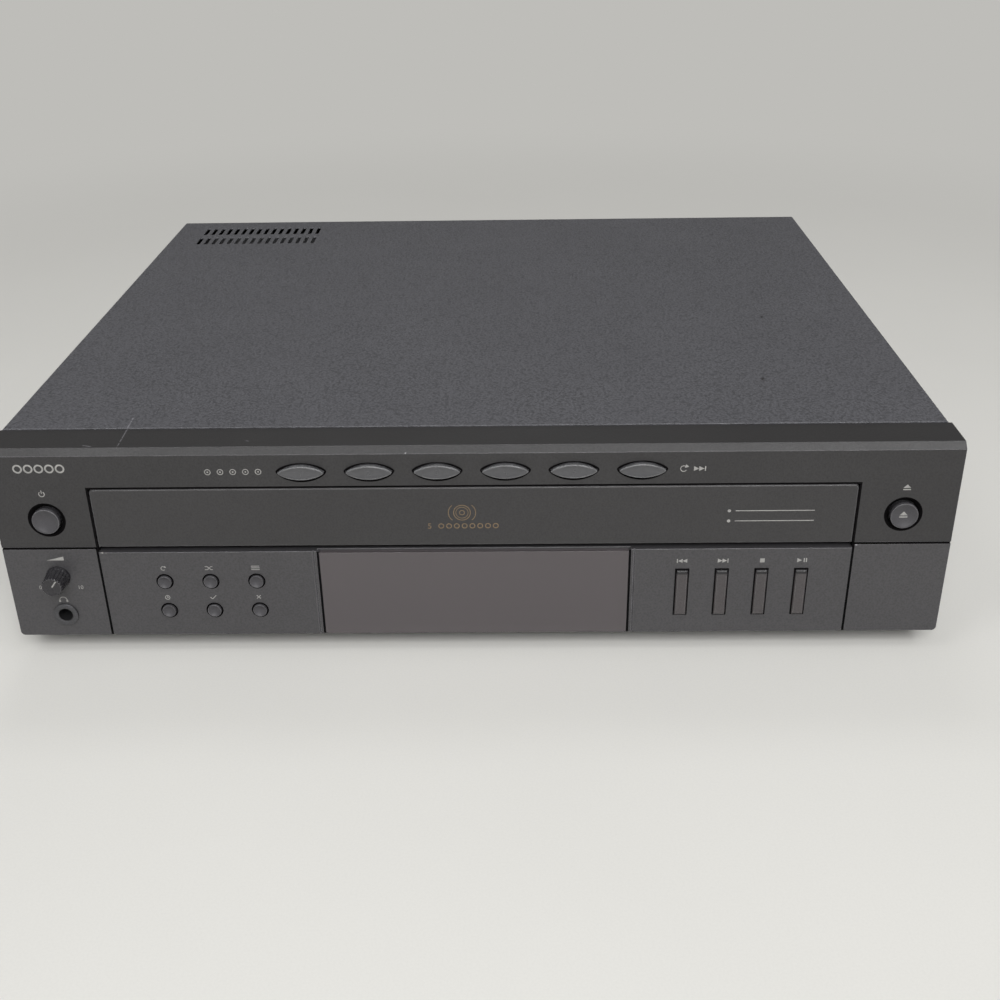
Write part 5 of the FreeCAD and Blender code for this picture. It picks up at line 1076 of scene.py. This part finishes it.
@dataclass
class JointShadeStrips:
    """Black strips of painted shade about the four bars and in the panels' joints, a little wider than the
    joints.
    """

    end_top: float = 58.9
    end_reach: Pair = (171.5, 214.6)
    side: float = 171.55
    foot: float = 12.2
    window_side: float = 71.0
    fascia_top: float = 56.3
    door_top: float = 89.35
    door_side: float = 171.35
    width: float = 1.1
    door_width: float = 0.8
    bar_half: float = 2.85
    bar_span: Pair = (21.7, 45.8)
    bar_rim: float = 0.4

    def build(self) -> None:
        """Draws the bars' frames, then the shade strips of the end panels, the window and the door's opening.
        """
        mark = Print("bar_shade_rims", FRONT, GAP_SHADE_BLACK, "socket_plastic", rise=0.08)
        out = self.bar_half + self.bar_rim / 2
        low, high = self.bar_span[0] - self.bar_rim / 2, self.bar_span[1] + self.bar_rim / 2
        for x in BAR_X:
            mark.at = (x, 0.0)
            mark.line((-out, low), (out, low), (out, high), (-out, high), width=self.bar_rim, closed=True)
        mark.build()
        mark = Print("panel_joint_shade_strips", FRONT, GAP_SHADE_BLACK, "socket_plastic", rise=0.04)
        near, far = self.end_reach
        for sign in (-1, 1):
            side, window = sign * self.side, sign * self.window_side
            mark.line((sign * near, self.end_top), (sign * far, self.end_top), width=self.width)
            mark.line((side, self.foot), (side, self.end_top), width=self.width)
            mark.line((window, self.foot), (window, self.fascia_top), width=self.width)
        out, top = self.door_side, self.door_top
        mark.line((-out, self.end_top), (-out, top), (out, top), (out, self.end_top), width=self.door_width)
        mark.build()


@dataclass
class DoorMarks:
    """The drawer front's emblem and the plain signs under it and to the right of it."""

    emblem: Pair = (-4.7, 75.9)
    row: float = 69.2
    side_rows: Pair = (75.9, 70.8)

    def build(self) -> None:
        """Makes a disc emblem over a row of rings in bronze ink, and two rows of a dot and a line."""
        x, z = self.emblem
        mark = Print("door_emblem", FRONT, BRONZE_INK, "door_plastic", "tray", at=self.emblem)
        for radius, width in ((3.75, 0.34), (2.75, 0.26), (1.1, 0.34)):
            mark.ring(radius, width)
        for across, start in ((-1.2, 130), (1.2, -50)):
            mark.at = (x + across, z)
            mark.bow(4.9, start, start + 100, 0.3)
        mark.at = (-19.4, self.row)
        mark.number("5", 2.7)
        for step in range(8):
            mark.at = (-14.2 + 3.5 * step, self.row)
            mark.ring(1.1, 0.4)
        mark.build()
        mark = Print("door_signs", FRONT, GREY_INK, "door_plastic", "tray")
        for z in self.side_rows:
            mark.at = (114.4, z)
            mark.dot(0.75)
            mark.line((2.8, 0), (37.9, 0), width=0.42)
        mark.build()


@dataclass
class Socket:
    """The headphone socket's bright nut: a thin hoop with a rolled rim about the hole."""

    place: Place = (-END_X, -187.8, 23.6)
    hole: float = 3.35
    outer: float = 5.75

    def build(self) -> None:
        """Makes the nut from a section of six points."""
        hole, outer = self.hole, self.outer
        section = [(hole, -0.25), (outer, -0.25), (outer, 0.05), (outer - 0.3, 0.22), (hole + 0.5, 0.16)]
        nut = swept(arc(1.0, steps=64), [*section, (hole, -0.05)], True)
        fit_piece("headphone_nut", nut.placed(Facing.FRONT, self.place), DULL_NICKEL)


@dataclass
class Display:
    """The fluorescent tube's anodes: rows of seven-bar figures, unlit."""

    face: float = -181.7
    figures: tuple[float, ...] = (-44.0, -33.0, -16.0, -5.0, 12.0, 23.0)
    middle: float = 34.5
    bar: float = 3.7
    width: float = 0.9

    def build(self) -> None:
        """Draws each figure as seven bars, a row of small tracks below and five rings to the right."""
        mark = Print("display_anodes", self.face, PHOSPHOR, "tube_glass")
        half = self.bar / 2
        for x in self.figures:
            mark.at = (x, self.middle)
            for up in (-self.bar - 0.3, 0.0, self.bar + 0.3):
                mark.line((-half, up), (half, up), width=self.width)
            for side in (-half - 0.75, half + 0.75):
                for up in (-half - 0.15, half + 0.15):
                    mark.line((side, up - half + 0.2), (side, up + half - 0.2), width=self.width)
        for step in range(20):
            mark.at = (-46 + 4.6 * step, 25.0)
            mark.solid((0, 0), (2.8, 0), (2.8, 1.8), (0, 1.8))
        for step in range(5):
            mark.at = (38 + 3.9 * step, 35)
            mark.ring(1.5, 0.35)
        mark.build()


@dataclass
class Screws:
    """Pan-head cross-recessed screws, sized in millimetres: heads, cross, and the faces they stand on.

    The dome falls and the cross dents by shares of the height. Its flanks and tips slope over two widths.
    """

    radius: float = 3.0
    height: float = 1.7
    side_height: float = 0.95
    fall: float = 0.55
    dent: float = 0.6
    cross: float = 1.75
    blade: float = 0.42
    slopes: Pair = (0.12, 0.2)
    back_face: float = 189.0
    side_face: float = 214.0

    def head(self, height: float) -> Shape:
        """Shapes one head on a polar grid.

        Height is that of a flat dome over the radius, less a dent where the point
        lies within half a blade of either line of the cross and inside its reach.
        The rows then run down the rim and back to the axis under the head.

        Args:
            height: The head's height.

        Returns:
            The head, with its seat at the origin.
        """
        rows, steps = 22, 64
        share = np.linspace(0, 1, rows)[:, None]
        angle = np.linspace(0, 2 * np.pi, steps, endpoint=False)[None, :]
        radius = self.radius * share
        x, y = radius * np.cos(angle), radius * np.sin(angle)
        dome = height * (1 - self.fall * share**4) + 0 * angle
        near = np.minimum(np.abs(x), np.abs(y))
        flank, tip = self.slopes
        slot = np.clip((self.blade - near) / flank, 0, 1)
        reach = np.clip((self.cross - radius) / tip, 0, 1)
        top = np.stack([x, y, dome - self.dent * height * slot * reach], -1)
        rim = np.stack([x[-1], y[-1], np.zeros(steps)], -1)[None]
        foot = np.zeros((1, steps, 3))
        points = np.concatenate([top, rim, foot]).reshape(-1, 3)
        return Shape(points, quads(rows + 2, steps, False, True))

    def build(self) -> None:
        """Places the back's screws and the cover's side screws."""
        places = [(x, self.back_face, 101.5) for x in (-204.0, -102.0, 0.0, 102.0, 204.0)]
        places += [(x, self.back_face, 20.5) for x in (-204.0, -60.0, 60.0, 204.0)]
        back, side = self.head(self.height), self.head(self.side_height)
        backs = [back.placed(Facing.BACK, place) for place in places]
        sides = [
            side.placed(facing, (x, y, 27.0))
            for facing, x in ((Facing.LEFT, -self.side_face), (Facing.RIGHT, self.side_face))
            for y in (-128.0, 12.0, 152.0)
        ]
        for name, shapes in (("back_screws", backs), ("side_screws", sides)):
            fit_piece(name, joined(shapes), BLACK_SCREW)


@dataclass
class Rear:
    """The line sockets' colour rings, and the signs printed on the back."""

    socket_x: Pair = (150.0, 164.0)
    socket_z: float = 44.0
    tip: float = 196.5
    face: float = 189.0

    def build(self) -> None:
        """Sets a ring in each socket's mouth and prints the signs."""
        ring = swept(arc(1.0, steps=40), [(1.65, -0.6), (3.3, -0.6), (3.3, 0.05), (1.65, 0.05)], True)
        marks = Print("back_marks", self.face, GREY_INK, "zinc_steel", facing=Facing.BACK)
        for name, x, finish in zip(("left", "right"), self.socket_x, (WHITE_NYLON, RED_NYLON)):
            shape = ring.placed(Facing.BACK, (x, self.tip, self.socket_z))
            fit_piece(f"line_ring_{name}", shape, finish)
            marks.at = (-x, 54.5)
            marks.ring(1.2, 0.35)
        marks.at = (-170.0, 58.2)
        marks.line((0, 0), (26, 0), width=0.4)
        marks.build()


@dataclass
class CarouselMarks:
    """Raised grey numbers on the turntable, one by each well, read from outside."""

    centre: Place = (0.0, -12.0, 79.0)
    radius: float = 31.5
    height: float = 8.0
    rise: float = 0.35

    def build(self) -> None:
        """Stands each number off the carousel's centre, and turns it about the centre."""
        shapes = []
        for count in range(5):
            turn = math.radians(72 * count)
            number = figure(str(count + 1), self.height, (0, self.radius), self.rise)
            rotate = [[math.cos(turn), -math.sin(turn), 0], [math.sin(turn), math.cos(turn), 0], [0, 0, 1]]
            shapes.append(Shape(number.points @ np.array(rotate).T + self.centre, number.faces))
        fit_piece("carousel_numbers", joined(shapes), GREY_INK, "carousel")


@dataclass
class Pickup:
    """The objective lens in the sled's tower: its radius, its crown and the depth of its seat."""

    sled: Object
    radius: float = 2.0
    crown: float = 0.45
    seat: float = 0.2

    def build(self) -> None:
        """Turns a bead whose height falls with the square of the radius, and sets it on the tower's top."""
        points = np.array([vertex.co for vertex in self.sled.data.vertices], float) / MM
        top = points[:, 2].max()
        centre = points[points[:, 2] > top - 0.01].mean(0)
        share = np.linspace(1, 0, 9)
        dome = np.stack([self.radius * share, self.crown * (1 - share**2)], -1)
        bead = swept(arc(1.0, steps=40), [(0, -self.seat), (self.radius, -self.seat), *dome])
        fit_piece("objective_lens", bead.placed(Facing.TOP, tuple(centre)), LENS_GLASS, "sled")


@dataclass(frozen=True)
class Softbox:
    """A rectangular soft lamp: place and aim in metres, width and height in metres, power in watts."""

    name: str
    place: Place
    aim: Place
    width: float
    height: float
    power: float

    def build(self) -> None:
        """Hangs the lamp, out of the camera's sight."""
        lamp = bpy.data.lights.new(self.name, "AREA")
        lamp.shape, lamp.size, lamp.size_y = "RECTANGLE", self.width, self.height
        lamp.energy = self.power
        holder = bpy.data.objects.new(self.name, lamp)
        holder.location = self.place
        way = Vector(self.aim) - Vector(self.place)
        holder.rotation_euler = way.to_track_quat("-Z", "Y").to_euler()
        holder.visible_camera = False
        bpy.context.scene.collection.objects.link(holder)


@dataclass
class Studio:
    """A pale floor under a broad front softbox, two small ones above the ends, one behind and a dim sky.

    The floor's sizes are in millimetres, and the fade's two radii in metres. Far from the part
    the floor fades to one flat tone, which the sky has at its horizon.
    """

    half: float = 12000.0
    rise: float = 5.0
    flat_tone: str = "#bebdb9"
    zenith: float = 0.3
    fade: Pair = (0.4, 1.1)
    lamps: tuple[Softbox, ...] = (
        Softbox("front_softbox", (0.25, -2.3, 1.85), (0, -0.1, 0.05), 1.9, 1.2, 84.0),
        Softbox("left_end_softbox", (-0.85, -0.95, 1.75), (-0.15, -0.18, 0.1), 0.6, 0.6, 5.0),
        Softbox("right_end_softbox", (0.9, -0.95, 1.75), (0.15, -0.18, 0.1), 0.6, 0.6, 5.0),
        Softbox("rear_softbox", (-0.2, 1.5, 2.9), (0, 0.15, 0.05), 1.0, 0.8, 11.0)
    )

    def build(self) -> None:
        """Makes the floor, the lamps and the world."""
        shape = plate(self.half * np.array([(-1, -1), (1, -1), (1, 1), (-1, 1)]), self.rise)
        mesh = bpy.data.meshes.new("studio_floor")
        mesh.from_pydata(((shape.points - [0, 0, self.rise]) * MM).tolist(), [], shape.faces)
        mesh.materials.append(self.paper())
        floor = bpy.data.objects.new("studio_floor", mesh)
        bpy.context.scene.collection.objects.link(floor)
        for lamp in self.lamps:
            lamp.build()
        self.sky()

    def paper(self) -> Material:
        """Makes the floor's material: lit paper near the part, the flat tone far from it.

        The flat tone's share rises smoothly between the two radii, and only the rays of the camera, of gloss
        and of clear bodies meet it, so it sheds no light on the part.

        Returns:
            The material.
        """
        made = STUDIO_PAPER.material()
        tree = made.node_tree
        surface = next(node for node in tree.nodes if node.type == "OUTPUT_MATERIAL").inputs["Surface"]
        lit = surface.links[0].from_socket
        place = add(tree, "TexCoord", out="Object")
        reach = add(tree, "VectorMath", {"Vector": place}, "Value", operation="LENGTH")
        low, high = self.fade
        span = {"Value": reach, "From Min": low, "From Max": high}
        share = add(tree, "MapRange", span, interpolation_type="SMOOTHSTEP")
        rays = add(tree, "LightPath").node.outputs
        seen = {0: rays["Is Camera Ray"], 1: rays["Is Glossy Ray"]}
        seen = {0: add(tree, "Math", seen, operation="MAXIMUM"), 1: rays["Is Transmission Ray"]}
        seen = add(tree, "Math", seen, operation="MAXIMUM")
        share = add(tree, "Math", {0: share, 1: seen}, operation="MULTIPLY")
        flat = add(tree, "Emission", {"Color": linear(self.flat_tone), "Strength": 1.0})
        tree.links.new(add(tree, "MixShader", {0: share, 1: lit, 2: flat}), surface)
        return made

    def sky(self) -> None:
        """Makes the world: the flat tone at the horizon, which soon dims to an even dome above it."""
        world = bpy.data.worlds.new("studio_sky")
        world.use_nodes = True
        tree = world.node_tree
        tree.nodes.clear()
        height = add(tree, "SeparateXYZ", {"Vector": add(tree, "TexCoord", out="Generated")}, "Z")
        span = {"Value": height, "From Min": 0.02, "From Max": 0.25, "To Min": 1.0, "To Max": self.zenith}
        light = {"Color": linear(self.flat_tone), "Strength": add(tree, "MapRange", span)}
        add(tree, "OutputWorld", {"Surface": add(tree, "Background", light)})
        bpy.context.scene.world = world


@dataclass
class Camera:
    """The camera: lens in millimetres on a 36 mm sensor, place in metres, angles in degrees."""

    lens: float = 44.52
    place: Place = (0.0215, -0.6739, 0.3361)
    down: float = 27.54
    aside: float = -1.073
    roll: float = -0.909

    def build(self) -> None:
        """Sets the camera by its right, its up and its forward direction."""
        down, aside, roll = map(math.radians, (self.down, self.aside, self.roll))
        sine, cosine = math.sin(aside), math.cos(aside)
        ahead = Vector((sine * math.cos(down), cosine * math.cos(down), -math.sin(down)))
        level = Vector((cosine, -sine, 0))
        over = level.cross(ahead)
        right = math.cos(roll) * level + math.sin(roll) * over
        up = -math.sin(roll) * level + math.cos(roll) * over
        data = bpy.data.cameras.new("camera")
        data.lens, data.sensor_width, data.clip_start, data.clip_end = self.lens, 36, 0.01, 100
        camera = bpy.data.objects.new("camera", data)
        turn = Matrix((right, up, -ahead)).transposed().to_4x4()
        camera.matrix_world = Matrix.Translation(self.place) @ turn
        bpy.context.scene.collection.objects.link(camera)
        bpy.context.scene.camera = camera


@dataclass
class Castings:
    """The constructed parts themselves, each dressed in its own finish."""

    nodes: dict

    def build(self) -> None:
        """Gives each node the finish of its slot in the record, or its own."""
        for name, node in self.nodes.items():
            slot = node.data.materials[0].name.split(".")[0]
            finish = NODE_FINISHES.get(name) or CAD_FINISHES[slot]
            for holder in node.material_slots:
                holder.material = finish.material()
            LOG.info("%s: %s", name, finish.name)


def main() -> None:
    """Loads the frame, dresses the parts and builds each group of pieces."""
    logging.basicConfig(level=logging.INFO, format="%(name)s: %(message)s")
    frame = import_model()
    groups = (
        Camera(), Studio(), Castings(frame["nodes"]), FrontMarks(), LongCaps(), RoundCaps(), Knob(), ShadeHoops(),
        JointShadeStrips(), DoorMarks(), Socket(), Display(), Screws(), Rear(), CarouselMarks(),
        Pickup(frame["nodes"]["pickup_sled"])
    )
    for group in groups:
        LOG.info("building %s", type(group).__name__)
        group.build()
    bpy.context.scene.view_settings.view_transform = "Standard"


if __name__ == "__main__":
    main()
